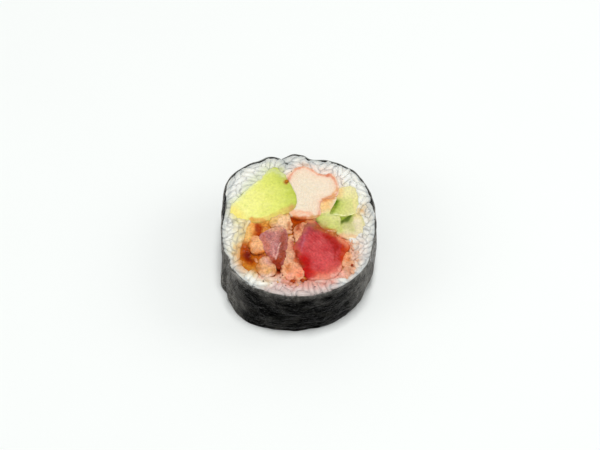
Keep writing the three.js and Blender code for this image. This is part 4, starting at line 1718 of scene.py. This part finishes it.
@dataclass
class Scraps:
    """Small things that the knife dragged over the cut: drops of sauce, or crumbs of nori.

    Attributes:
        name: What they are.
        finish: Their surface.
        places: x, y, radius and thickness of each, in millimetres.
        stains_and_painted_light: Where they are paler or darker.
        over_cut_mm: How far above the cut they lie, on the grains that stand out of it.
        uneven: How far their outline strays from round.
    """

    name: str
    finish: Finish
    places: tuple[tuple[float, float, float, float], ...]
    stains_and_painted_light: tuple[StainAndPaintedLight, ...] = ()
    over_cut_mm: float = 0.3
    uneven: float = 0.7

    def build(self) -> Object:
        """Makes all of them as one mesh.

        Returns:
            The scraps, lying on the upper cut.
        """
        work = bmesh.new()
        for k, (x, y, radius, thick) in enumerate(self.places):
            made = bmesh.ops.create_icosphere(work, subdivisions=3, radius=radius)["verts"]
            for vert in made:
                lump = noise.noise(vert.co * 1.3 / radius + Vector((k * 7.0, 3.0, 1.0)))
                grown = 1 + self.uneven * lump
                vert.co.x = vert.co.x * grown + x
                vert.co.y = vert.co.y * grown + y
                vert.co.z = vert.co.z * grown * thick / radius + height_mm() + self.over_cut_mm
                vert.co *= MM
        mesh = bpy.data.meshes.new(self.name)
        work.to_mesh(mesh)
        work.free()
        mesh.shade_smooth()
        put_stains_and_painted_light(mesh, points_of(mesh), self.stains_and_painted_light)
        for attribute in ("rim", "wear"):
            put_attribute(mesh, attribute, np.zeros(len(mesh.vertices)))
        mesh.materials.append(self.finish.material())
        return new_object(self.name, mesh)


# Sauce that dripped from the knife: small, flat and dark, with a wet gleam.
DROPS = Scraps(
    "sauce_drops",
    ChilliSauce(name="Drops of chilli sauce", thin="B04A18", body="96280A"),
    (
        (-1.3, -21.0, 0.7, 0.2), (1.7, -20.7, 0.6, 0.2), (2.9, -20.4, 0.4, 0.2),
        (-3.4, 15.8, 0.5, 0.16), (17.3, -15.2, 0.35, 0.2),
    ),
    (StainAndPaintedLight(((-3.4, 15.8),), 1.2, "B8701E", 1.0, 4.0),),
)
# Flecks of the sheet that the knife tore off: matt, and the darkest spots on the rice.
CRUMBS = Scraps(
    "nori_crumbs",
    DriedSeaweed(name="Crumbs of seaweed"),
    (
        (-10.6, -21.0, 0.2, 0.1), (-3.6, -22.6, 0.14, 0.08), (5.6, -23.0, 0.16, 0.08),
        (-8.0, -21.8, 0.1, 0.06), (-1.9, 19.6, 0.14, 0.08), (21.8, 2.4, 0.14, 0.08),
    ),
)


# ---- Rice ----


@dataclass(frozen=True)
class Bank:
    """A stretch where the rice lies far over the rim of the sauce.

    Attributes:
        line_mm: Its middle line, in plan.
        reach_mm: How far it spreads.
        further_mm: How much further grains lie over the sauce there.
    """

    line_mm: Line = (
        (-13.4, -17.8), (-8.6, -20.2), (-3.5, -21.4), (4.0, -21.6), (12.0, -20.8),
    )
    reach_mm: float = 2.4
    further_mm: float = 1.3

    def over(self, plan: Array) -> Array:
        """Millimetres further over the sauce, for each place in plan."""
        return self.further_mm * np.exp(-((distance_to_line(plan, self.line_mm) / self.reach_mm) ** 2))


class Bed:
    """The room that the rice has in plan beside one of the cut faces, as depths on a grid."""

    STEP_MM = 0.25

    def __init__(self, level_mm: float, rice: "RiceBed") -> None:
        """Measures the room.

        Args:
            level_mm: The height at which the frame's outlines are read.
            rice: The rice, which says how far its grains reach over their neighbours.
        """
        low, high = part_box("nori")
        self.origin = np.array([low.x, low.y]) / MM - 1
        size = np.ceil((np.array([high.x, high.y]) / MM + 1 - self.origin) / self.STEP_MM).astype(int) + 1
        xs, ys = [self.origin[k] + self.STEP_MM * np.arange(size[k]) for k in (0, 1)]
        grid = np.stack(np.meshgrid(xs, ys, indexing="ij"), -1).reshape(-1, 2)
        wall, *holes = sorted(plan_loops("rice", level_mm), key=area_of, reverse=True)
        depth = depth_inside(grid, wall) + rice.to_sheet_mm
        over = rice.over_sauce_mm + rice.bank.over(grid)
        for hole in holes:
            depth = np.minimum(depth, over - depth_inside(grid, hole))
        for loop in [loop for node in SOLID for loop in plan_loops(node, level_mm)]:
            depth = np.minimum(depth, rice.over_filling_mm - depth_inside(grid, loop))
        self.depth = depth.reshape(size)

    def sample(self, field_values: Array, plan: Array) -> Array:
        """Reads a grid between its points.

        Args:
            field_values: The grid.
            plan: One row of x and y in millimetres for each point.

        Returns:
            One value for each point.
        """
        at = (plan - self.origin) / self.STEP_MM
        at = np.clip(at, 0, np.array(field_values.shape) - 1.001)
        i, t = at.astype(int), at - at.astype(int)
        x, y = i[:, 0], i[:, 1]
        low = field_values[x, y] * (1 - t[:, 0]) + field_values[x + 1, y] * t[:, 0]
        high = field_values[x, y + 1] * (1 - t[:, 0]) + field_values[x + 1, y + 1] * t[:, 0]
        return low * (1 - t[:, 1]) + high * t[:, 1]

    def inwards(self, plan: Array) -> Array:
        """The direction in which the room gets deeper.

        Args:
            plan: One row of x and y in millimetres for each point.

        Returns:
            One unit direction for each point.
        """
        reach = np.array([[self.STEP_MM, 0], [0, self.STEP_MM]])
        further = np.stack([self.sample(self.depth, plan + r) for r in reach], -1)
        slope = further - np.stack([self.sample(self.depth, plan - r) for r in reach], -1)
        return slope / np.maximum(np.linalg.norm(slope, axis=1, keepdims=True), 1e-6)


@dataclass
class RiceBed:
    """The rice: real grains pressed together at both cuts, over a smaller core.

    Attributes:
        length_mm: Of a cooked grain.
        width_mm: Of a cooked grain.
        thickness_mm: Of a cooked grain.
        slab_mm: How deep the grains reach from a cut.
        crowding: How many times the loose number of grains is pressed in.
        cut_mm: How far a grain may stand over the cut.
        over_filling_mm: How far grains lie over the edge of a filling.
        over_sauce_mm: How far grains lie over the rim of the sauce.
        to_sheet_mm: How far grains reach out past the rice's solid, up to the sheet.
        bank: Where they lie further over the sauce.
        sunk_mm: How far the core lies below the cuts.
        flatten: How much of what stands over a cut the knife presses down.
        rim_shade: Colour of the painted shade on the rice beside the sheet.
        blush_and_shade: Pink that ran to the front of that rim, as dark as the painted shade there.
        tilt: How far grains point up or down at first, beside how far they point sideways.
        least_mm: The depth of room in which a grain may start, and in which it is kept at the end.
        beads: Where the balls that stand for a grain lie, from one end, -1, to the other, 1.
        touch: The share of a grain's width at which two grains start to push each other.
        push: How strongly they do.
        push_back: How strongly the fillings and the sheet push a grain back, and the cuts.
        furthest_mm: How far a grain may move in one round.
        levelling: The share of its slope that a grain keeps in one round.
        rounds: Of pressing.
        seed: Of everything random.
        stains_and_painted_light: What soaked in from the fillings, and two grey bands of painted shade
            beside the rim.
        beds: The room beside each cut, measured when the rice is built.
    """

    length_mm: float = 5.8
    width_mm: float = 2.7
    thickness_mm: float = 2.35
    slab_mm: float = 3.4
    crowding: float = 1.8
    cut_mm: float = 0.3
    over_filling_mm: float = 0.35
    over_sauce_mm: float = 0.9
    to_sheet_mm: float = 0.45
    bank: Bank = Bank()
    sunk_mm: float = 0.3
    flatten: float = 0.86
    rim_shade: str = "C6CAC7"
    blush_and_shade: StainAndPaintedLight = StainAndPaintedLight(((-11.0, -23.8), (-3.0, -25.3), (5.0, -25.3), (11.5, -23.8)), 1.3, "CDB4AC", 0.55)
    tilt: float = 0.3
    least_mm: Pair = (0.3, 0.25)
    beads: tuple[float, ...] = (-1, -0.33, 0.33, 1)
    touch: float = 0.72
    push: float = 0.28
    push_back: Pair = (0.6, 0.5)
    furthest_mm: float = 0.5
    levelling: float = 0.93
    rounds: int = 90
    seed: int = 11
    stains_and_painted_light: tuple[StainAndPaintedLight, ...] = (
        StainAndPaintedLight(((-17.6, 0.5), (-18.8, -5.0), (-19.6, -9.5), (-18.6, -13.5)), 3.2, "F0DEA6", 0.6),
        StainAndPaintedLight(((-14.0, -17.6), (-9.0, -20.6)), 1.8, "EED9A6", 0.7),
        StainAndPaintedLight(((-21.5, 7.2), (-16.5, 12.8), (-9.0, 22.0)), 1.7, "DDE3B0", 0.6),
        StainAndPaintedLight(((-22.6, 5.6), (-19.5, 1.2)), 1.6, "F0E39A", 0.7),
        StainAndPaintedLight(((20.8, -6.0), (20.4, -13.0)), 2.2, "ECD4C8", 0.55),
        StainAndPaintedLight(((-6.0, -22.8), (3.0, -23.8), (10.0, -22.4)), 3.0, "DFBAB4", 0.75),
        StainAndPaintedLight(((-3.0, -21.4), (2.5, -22.0), (12.0, -21.2)), 1.3, "E59E8D", 0.75),
        StainAndPaintedLight(((18.9, -7.0), (18.9, -14.0), (16.6, -19.6)), 1.3, "F1C8AC", 0.75),
        StainAndPaintedLight(((-16.8, 1.2), (-18.0, -3.0), (-18.2, -7.0)), 2.0, "EFE1BE", 0.65),
        StainAndPaintedLight(((-16.6, 1.2), (-17.2, -3.0), (-17.4, -7.0)), 1.0, "E5C687", 0.85),
        StainAndPaintedLight(((-18.6, -9.4), (-19.0, -11.0), (-17.8, -14.4)), 1.4, "D6985C", 0.75),
        StainAndPaintedLight(((-18.0, -7.4), (-18.4, -8.8)), 1.1, "DFAF74"),
        StainAndPaintedLight(((-16.2, -17.3), (-18.4, -16.8)), 1.1, "D9B48C", 0.85),
        StainAndPaintedLight(((-20.6, -14.2), (-18.0, -17.6)), 1.3, "DCC0A8", 0.6),
        StainAndPaintedLight(((19.4, 4.4), (19.6, 1.6)), 1.5, "E9D48E", 0.75),
        StainAndPaintedLight(((20.9, 4.6),), 1.2, "DDA36A", 0.85),
        StainAndPaintedLight(((-16.4, 14.6), (-11.4, 19.4)), 2.6, "DDE2CC", 0.55),
        StainAndPaintedLight(((21.4, 0.4), (21.8, -5.0)), 1.8, "DDDAC8", 0.5),
        StainAndPaintedLight(((21.6, 6.4),), 1.6, "E9D3A8", 0.6),
        StainAndPaintedLight(((9.0, 20.2), (13.8, 17.0)), 1.6, "EBCDC0", 0.5),
        StainAndPaintedLight(((-3.9, 17.0),), 1.7, "DDB388", 0.6),
        StainAndPaintedLight(((15.5, 14.8), (20.4, 10.0)), 1.3, "E4E2B4", 0.5),
        StainAndPaintedLight(((-3.0, 17.4), (-1.6, 20.6), (2.0, 22.0), (4.8, 21.2), (7.0, 19.6)), 1.6, "F1DCD0", 0.7),
        StainAndPaintedLight(((7.0, 19.6), (10.6, 19.8), (13.6, 16.6), (14.6, 13.4)), 1.5, "F1DED0", 0.7),
        # Painted shade on the rice beside the back of the rim.
        StainAndPaintedLight(((-4.0, 23.0), (1.5, 25.0), (8.0, 24.4)), 1.9, "CBCCC6", 0.5),
        StainAndPaintedLight(((-5.4, 22.4),), 1.5, "C9CDB2", 0.7),
        StainAndPaintedLight(((-6.9, 20.4), (-4.8, 20.1)), 1.0, "C2C78E", 0.85),
        # Painted shade on the rice beside the upper left of the rim.
        StainAndPaintedLight(((-21.6, 18.6), (-18.6, 21.4), (-14.2, 23.4)), 1.5, "ABB1AE", 0.5),
        StainAndPaintedLight(((22.3, 6.4), (23.3, 1.0)), 1.2, "E0D2B8", 0.55),
    )
    beds: dict[CutFace, Bed] = field(default_factory=dict)

    def build(self) -> list[Object]:
        """Makes the grains and the core.

        Returns:
            The grains, which take the place of the rice node, and the core under them.
        """
        top = height_mm()
        levels = {CutFace.UPPER: top - NEAR_CUT_MM, CutFace.LOWER: NEAR_CUT_MM}
        self.beds = {face: Bed(level, self) for face, level in levels.items()}
        rng = np.random.default_rng(self.seed)
        places, ways = [], []
        for face, bed in self.beds.items():
            place, way = self.settle(bed, rng)
            if face is CutFace.LOWER:
                place[:, 2], way[:, 2] = -place[:, 2], -way[:, 2]
            place[:, 2] += top if face is CutFace.UPPER else 0
            places.append(place)
            ways.append(way)
        tree = GrainTree(self.length_mm, self.width_mm, self.thickness_mm)
        grains = tree.strew("rice_grains", np.concatenate(places), np.concatenate(ways), rng)
        self.press(grains.data, top)
        return [grains, self.core(top)]

    def settle(self, bed: Bed, rng: Chance) -> tuple[Array, Array]:
        """Presses grains together in the room beside one cut, which lies at height zero.

        Args:
            bed: The room in plan.
            rng: The source of chance.

        Returns:
            The middle and the direction of each grain, in millimetres.
        """
        step = bed.STEP_MM
        room = np.argwhere(bed.depth > self.least_mm[0])
        volume = len(room) * step**2 * self.slab_mm
        grain = math.pi / 6 * self.length_mm * self.width_mm * self.thickness_mm
        count = int(self.crowding * volume / grain)
        spots = room[rng.choice(len(room), count, replace=False)] * step + bed.origin
        radius = self.width_mm / 2
        high, low = self.cut_mm + 0.1 - radius, radius - self.slab_mm
        place = np.column_stack([spots, rng.uniform(low, high, count)])
        way = rng.normal(size=(count, 3)) * (1, 1, self.tilt)
        way /= np.linalg.norm(way, axis=1, keepdims=True)
        half = (self.length_mm - self.width_mm) / 2
        along = np.array(self.beads) * half
        owner = np.repeat(np.arange(count), len(along))
        other = owner[:, None] != owner[None, :]
        touch = self.width_mm * self.touch
        for _ in range(self.rounds):
            balls = (place[:, None] + way[:, None] * along[None, :, None]).reshape(-1, 3)
            apart = balls[:, None] - balls[None]
            far = np.linalg.norm(apart, axis=2)
            press = np.where(other & (far < touch), (touch - far) / np.maximum(far, 1e-3), 0)
            shove = self.push * (apart * press[:, :, None]).sum(1)
            short = np.maximum(radius * 0.9 - bed.sample(bed.depth, balls[:, :2]), 0)
            shove[:, :2] += self.push_back[0] * short[:, None] * bed.inwards(balls[:, :2])
            shove[:, 2] += self.push_back[1] * (np.clip(balls[:, 2], low, high) - balls[:, 2])
            shove = shove.reshape(count, len(along), 3)
            place = place + np.clip(shove.mean(1), -self.furthest_mm, self.furthest_mm)
            way = way + 0.5 * (shove * (along / half**2)[None, :, None]).mean(1)
            way[:, 2] *= self.levelling
            way /= np.linalg.norm(way, axis=1, keepdims=True)
            place[:, 2] = np.clip(place[:, 2], low, high)
        kept = bed.sample(bed.depth, place[:, :2]) > self.least_mm[1]
        return place[kept], way[kept]

    def press(self, mesh: Mesh, top: float) -> None:
        """Cuts the grains level at the faces, squeezes them into their room, and lays on soaked colour and
        painted shade.

        Args:
            mesh: The grains.
            top: Height of the upper cut, in millimetres.
        """
        points = points_of(mesh)
        upper = points[:, 2] > top / 2
        for face, bed in self.beds.items():
            mine = upper if face is CutFace.UPPER else ~upper
            plan = points[mine, :2]
            for _ in range(3):
                short = np.maximum(0.08 - bed.sample(bed.depth, plan), 0)
                plan = plan + short[:, None] * bed.inwards(plan)
            points[mine, :2] = plan
        over = points[:, 2] - (top + self.cut_mm - 0.15)
        points[:, 2] = np.where(over > 0, points[:, 2] - self.flatten * over, points[:, 2])
        points = Seam().drawn(points)
        put_points(mesh, points)
        put_stains_and_painted_light(mesh, points, self.soaked())

    def soaked(self) -> tuple[StainAndPaintedLight, ...]:
        """All the rice's colour marks, with painted shade along the wall of the sheet.

        Returns:
            The stains, from the lowest to the uppermost.
        """
        wall = max(plan_loops("rice", height_mm() - NEAR_CUT_MM), key=area_of)
        closed = tuple(map(tuple, np.vstack([wall, wall[:1]])))
        # Painted shade: a grey band on the rice all along the sheet's wall, with pink over it at the
        # front.
        return (*self.stains_and_painted_light, *SEEPS, StainAndPaintedLight(closed, 1.1, self.rim_shade, 0.75), self.blush_and_shade)

    def core(self, top: float) -> Object:
        """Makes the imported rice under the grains.

        Args:
            top: Height of the upper cut, in millimetres.

        Returns:
            The core.
        """
        mesh = merged_copy("rice")
        points = points_of(mesh)
        points[:, 2] = np.clip(points[:, 2], self.sunk_mm, top - self.sunk_mm)
        points = Seam().drawn(points)
        put_points(mesh, points)
        put_stains_and_painted_light(mesh, points, self.soaked())
        put_attribute(mesh, "tone", np.full(len(points), 0.4))
        obj = new_object("rice_core", mesh)
        mesh.materials.append(CookedRice(name="Packed rice under the grains").material())
        return obj


# ---- Nori ----


@dataclass
class NoriSheet:
    """The sheet of nori, worked finer than its solid and wrinkled.

    Attributes:
        levels: Rounds of subdivision.
        crease: How sharp the rim stays.
        wrinkles: Size round the roll, size up the wall and height, in millimetres.
        thin_mm: How much the inner side is pressed out.
        grow_mm: How far the whole sheet is pressed out, against the shrinking of the subdivision.
        sink_mm: How far the rim lies below the knife's cut, because rice swells up beside it.
        near_cut_paling: How much paler grey the leaf is beside the cut.
        side_painted_sheen: How much painted sheen, pale grey for light caught edge on, lies on both sides.
        near_cut_reach_mm: How far down from the cut that reaches.
        pale_back_deg: How far round from the back the cut rim is pale.
        thick: Direction and spread, in degrees, of the places where the sheet shows its full thickness.
        stains_and_painted_light: Painted highlights on the lower wall, on the folds at the right and the
            left.
        radius_mm: Of the roll, for the wrinkles' size round it.
        sides_mm: Out from the middle, where the painted sheen of the sides starts and where it is full.
        folds: Direction, spread in degrees, height, reach and depth of each fold in the wall.
    """

    levels: int = 3
    crease: float = 0.75
    wrinkles: tuple[Triple, ...] = (
        (9.0, 2.2, 0.16), (2.6, 1.3, 0.12), (4.5, 7.0, 0.4), (1.6, 2.4, 0.08),
    )
    thin_mm: float = 0.26
    grow_mm: float = 0.06
    sink_mm: float = 0.3
    near_cut_paling: float = 0.5
    side_painted_sheen: float = 0.84
    near_cut_reach_mm: float = 2.6
    pale_back_deg: float = 34.0
    thick: Line = ((146.0, 13.0), (190.0, 9.0), (14.0, 12.0), (42.0, 8.0))
    radius_mm: float = 25.0
    sides_mm: Pair = (16.0, 22.0)
    # Painted highlights: pale patches on the right and left folds, where they catch the light.
    stains_and_painted_light: tuple[StainAndPaintedLight, ...] = (
        StainAndPaintedLight(((24.0, -7.6), (23.4, -9.2)), 0.8, "CFC5B8", 0.4, 2.0, (2.4, 5.4)),
        StainAndPaintedLight(((-24.0, -8.8), (-23.0, -11.2)), 1.1, "C4C6C2", 0.5, 2.0, (-1.0, 2.4)),
    )
    folds: tuple[tuple[float, float, float, float, float], ...] = (
        (341.0, 8.0, 5.5, 4.5, 0.75), (356.0, 7.0, 14.0, 6.0, 0.35), (201.0, 6.0, 1.2, 2.0, 0.15),
        (331.0, 4.0, 9.0, 8.0, -0.3), (214.0, 2.5, 4.0, 6.0, 0.4),
    )

    def build(self) -> Object:
        """Makes the sheet.

        Returns:
            The sheet, in place of its node.
        """
        mesh = merged_copy("nori")
        work = bmesh.new()
        work.from_mesh(mesh)
        limits = {"angle_face_threshold": 0.7, "angle_shape_threshold": 1.2}
        bmesh.ops.join_triangles(work, faces=work.faces, cmp_seam=False, **limits)
        sharp = work.edges.layers.float.new("crease_edge")
        for edge in work.edges:
            if len(edge.link_faces) == 2 and edge.calc_face_angle() > math.radians(60):
                edge[sharp] = self.crease
        work.to_mesh(mesh)
        work.free()
        obj = new_object("nori_sheet", mesh)
        subdivide = obj.modifiers.new("Finer", "SUBSURF")
        subdivide.levels = subdivide.render_levels = self.levels
        mesh = baked(obj)
        self.wrinkle(mesh)
        mesh.shade_smooth()
        points = points_of(mesh)
        put_stains_and_painted_light(mesh, points, self.stains_and_painted_light)
        self.age(mesh, points)
        mesh.materials.append(DriedSeaweed().material())
        return obj

    def age(self, mesh: Mesh, points: Array) -> None:
        """Stores the paling near the cut, the painted sheen at the sides and the cut rim, for the finish
        to read.

        Args:
            mesh: The fine mesh.
            points: One row of three millimetres for each vertex.
        """
        below = height_mm() - self.sink_mm - points[:, 2]
        # Painted sheen: the front of each side is painted paler than the back.
        sides = rise(np.abs(points[:, 0]), *self.sides_mm) * np.clip(0.7 - points[:, 1] / 12, 0.3, 1)
        # Paler grey near the cut, and painted sheen on both sides, where the wall is seen edge on.
        wear = self.near_cut_paling * np.exp(-((below / self.near_cut_reach_mm) ** 2)) + self.side_painted_sheen * sides
        put_attribute(mesh, "wear", np.clip(wear + 0.3 * mottle(points, 4.0, 6.0), 0, 1))
        # The rim is what faces up near the cut, and the half millimetre below it.
        facing_up = np.clip((rows_of(mesh, "normal")[:, 2] - 0.3) / 0.3, 0, 1) * (below < 2)
        rim = np.maximum(facing_up, np.clip((0.5 - below) / 0.3, 0, 1))
        rim = rim * np.clip(0.7 + 1.1 * mottle(points, 2.0, 4.0), 0, 1)
        back = np.clip(1.6 * near_angle(points, 90.0, self.pale_back_deg), 0.12, 1)
        put_attribute(mesh, "rim", rim * back)

    def wrinkle(self, mesh: Mesh) -> None:
        """Bends both sides of the sheet in and out together.

        Args:
            mesh: The fine mesh.
        """
        points = points_of(mesh)
        angle = np.arctan2(points[:, 1], points[:, 0])
        outwards = np.stack([np.cos(angle), np.sin(angle)], -1)
        shift = np.zeros(len(points))
        for k, (round_mm, up_mm, depth_mm) in enumerate(self.wrinkles):
            flat = np.column_stack([outwards * self.radius_mm / round_mm, points[:, 2] / up_mm])
            shift += depth_mm * mottle(flat, 1.0, 3.0 + k)
        facing = np.sum(rows_of(mesh, "normal")[:, :2] * outwards, axis=1)
        full = np.clip(sum(near_angle(points, *place) for place in self.thick), 0, 1)
        shift += np.where(facing < 0, self.thin_mm, 0) * (1 - 0.9 * full) * np.abs(facing) + self.grow_mm
        for direction, spread, height, reach, depth in self.folds:
            near = near_angle(points, direction, spread)
            shift += depth * near * np.exp(-(((points[:, 2] - height) / reach) ** 2))
        points[:, :2] += outwards * shift[:, None]
        points = Seam().drawn(points)
        points[:, 2] -= self.sink_mm * np.clip((points[:, 2] - height_mm() + 2) / 2, 0, 1)
        put_points(mesh, points)


# ---- Studio ----


@dataclass
class Studio:
    """A plain pale table under one high soft lamp, with weaker ones at both sides.

    Attributes:
        floor_m: Size of the table top.
        aim_mm: The point that the camera looks at, in plan, on the upper cut.
        distance_mm: From there to the camera.
        elevation_deg: Of the camera above the horizon.
        lens_mm: For a sensor 36 mm wide.
        sky: Strength of the light from all round.
        lamps: Place, size and power of each soft lamp, in metres and watts.
    """

    floor_m: float = 3.0
    aim_mm: Pair = (0.89, -0.51)
    distance_mm: float = 513.0
    elevation_deg: float = 60.0
    lens_mm: float = 96.0
    sky: float = 0.34
    lamps: tuple[tuple[Triple, float, float], ...] = (
        ((0.05, 0.03, 1.2), 0.22, 8.6),
        ((-0.7, -0.2, 0.5), 0.4, 0.8),
        ((0.7, 0.1, 0.5), 0.4, 1.0),
    )

    def build(self) -> None:
        """Makes the table, the light and the camera."""
        self.table()
        self.light()
        self.camera()

    def table(self) -> None:
        """Lays the table top at height zero."""
        half = self.floor_m / 2
        mesh = bpy.data.meshes.new("table")
        corners = [(-half, -half, 0), (half, -half, 0), (half, half, 0), (-half, half, 0)]
        mesh.from_pydata(corners, [], [(0, 1, 2, 3)])
        put_stains_and_painted_light(mesh, points_of(mesh), ())
        mesh.materials.append(PaleTable().material())
        new_object("table", mesh)

    def light(self) -> None:
        """Sets the even light all round and the soft lamps."""
        world = bpy.data.worlds.new("Light tent")
        bpy.context.scene.world = world
        world.use_nodes = True
        back = world.node_tree.nodes["Background"]
        back.inputs["Color"].default_value = linear("FFFFFF")
        back.inputs["Strength"].default_value = self.sky
        for k, (place, size, power) in enumerate(self.lamps):
            data = bpy.data.lights.new(f"soft_lamp_{k + 1}", "AREA")
            data.shape, data.size, data.energy = "SQUARE", size, power
            lamp = bpy.data.objects.new(data.name, data)
            lamp.location = place
            lamp.rotation_euler = (-Vector(place)).to_track_quat("-Z", "Y").to_euler()
            bpy.context.scene.collection.objects.link(lamp)

    def camera(self) -> None:
        """Places the camera."""
        data = bpy.data.cameras.new("camera")
        data.lens, data.sensor_width, data.clip_start = self.lens_mm, 36.0, 0.01
        camera = bpy.data.objects.new("camera", data)
        tilt = math.radians(self.elevation_deg)
        aim = Vector((*self.aim_mm, height_mm())) * MM
        camera.location = aim + self.distance_mm * MM * Vector((0, -math.cos(tilt), math.sin(tilt)))
        camera.rotation_euler = (math.pi / 2 - tilt, 0, 0)
        bpy.context.scene.collection.objects.link(camera)
        bpy.context.scene.camera = camera
        bpy.context.scene.view_settings.view_transform = "Standard"


# ---- The roll ----


def attach(obj: Object, slot: str, *nodes: str) -> None:
    """Fixes a piece to the roll and reports it.

    Args:
        obj: The piece.
        slot: A name for the piece's kind, which is not used.
        *nodes: The frame nodes that it takes the place of.
    """
    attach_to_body(obj, "root")
    if nodes:
        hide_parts(*nodes)
    LOG.info("%s: %d faces", obj.name, len(obj.data.polygons))


def main() -> None:
    """Builds the roll and the studio."""
    logging.basicConfig(level=logging.INFO, format="%(message)s")
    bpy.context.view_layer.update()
    attach(NoriSheet().build(), "nori", "nori")
    grains, core = RiceBed().build()
    attach(grains, "rice", "rice")
    attach(core, "rice")
    for filling in FILLINGS:
        attach(filling.build(), filling.slot, filling.node)
    for node in SAUCE:
        pocket = SaucePocket(node)
        attach(pocket.build(), pocket.slot, node)
    attach(Shreds().build(), "fish_bit")
    attach(DROPS.build(), "sauce")
    attach(CRUMBS.build(), "nori")
    Studio().build()


if __name__ == "__main__":
    main()
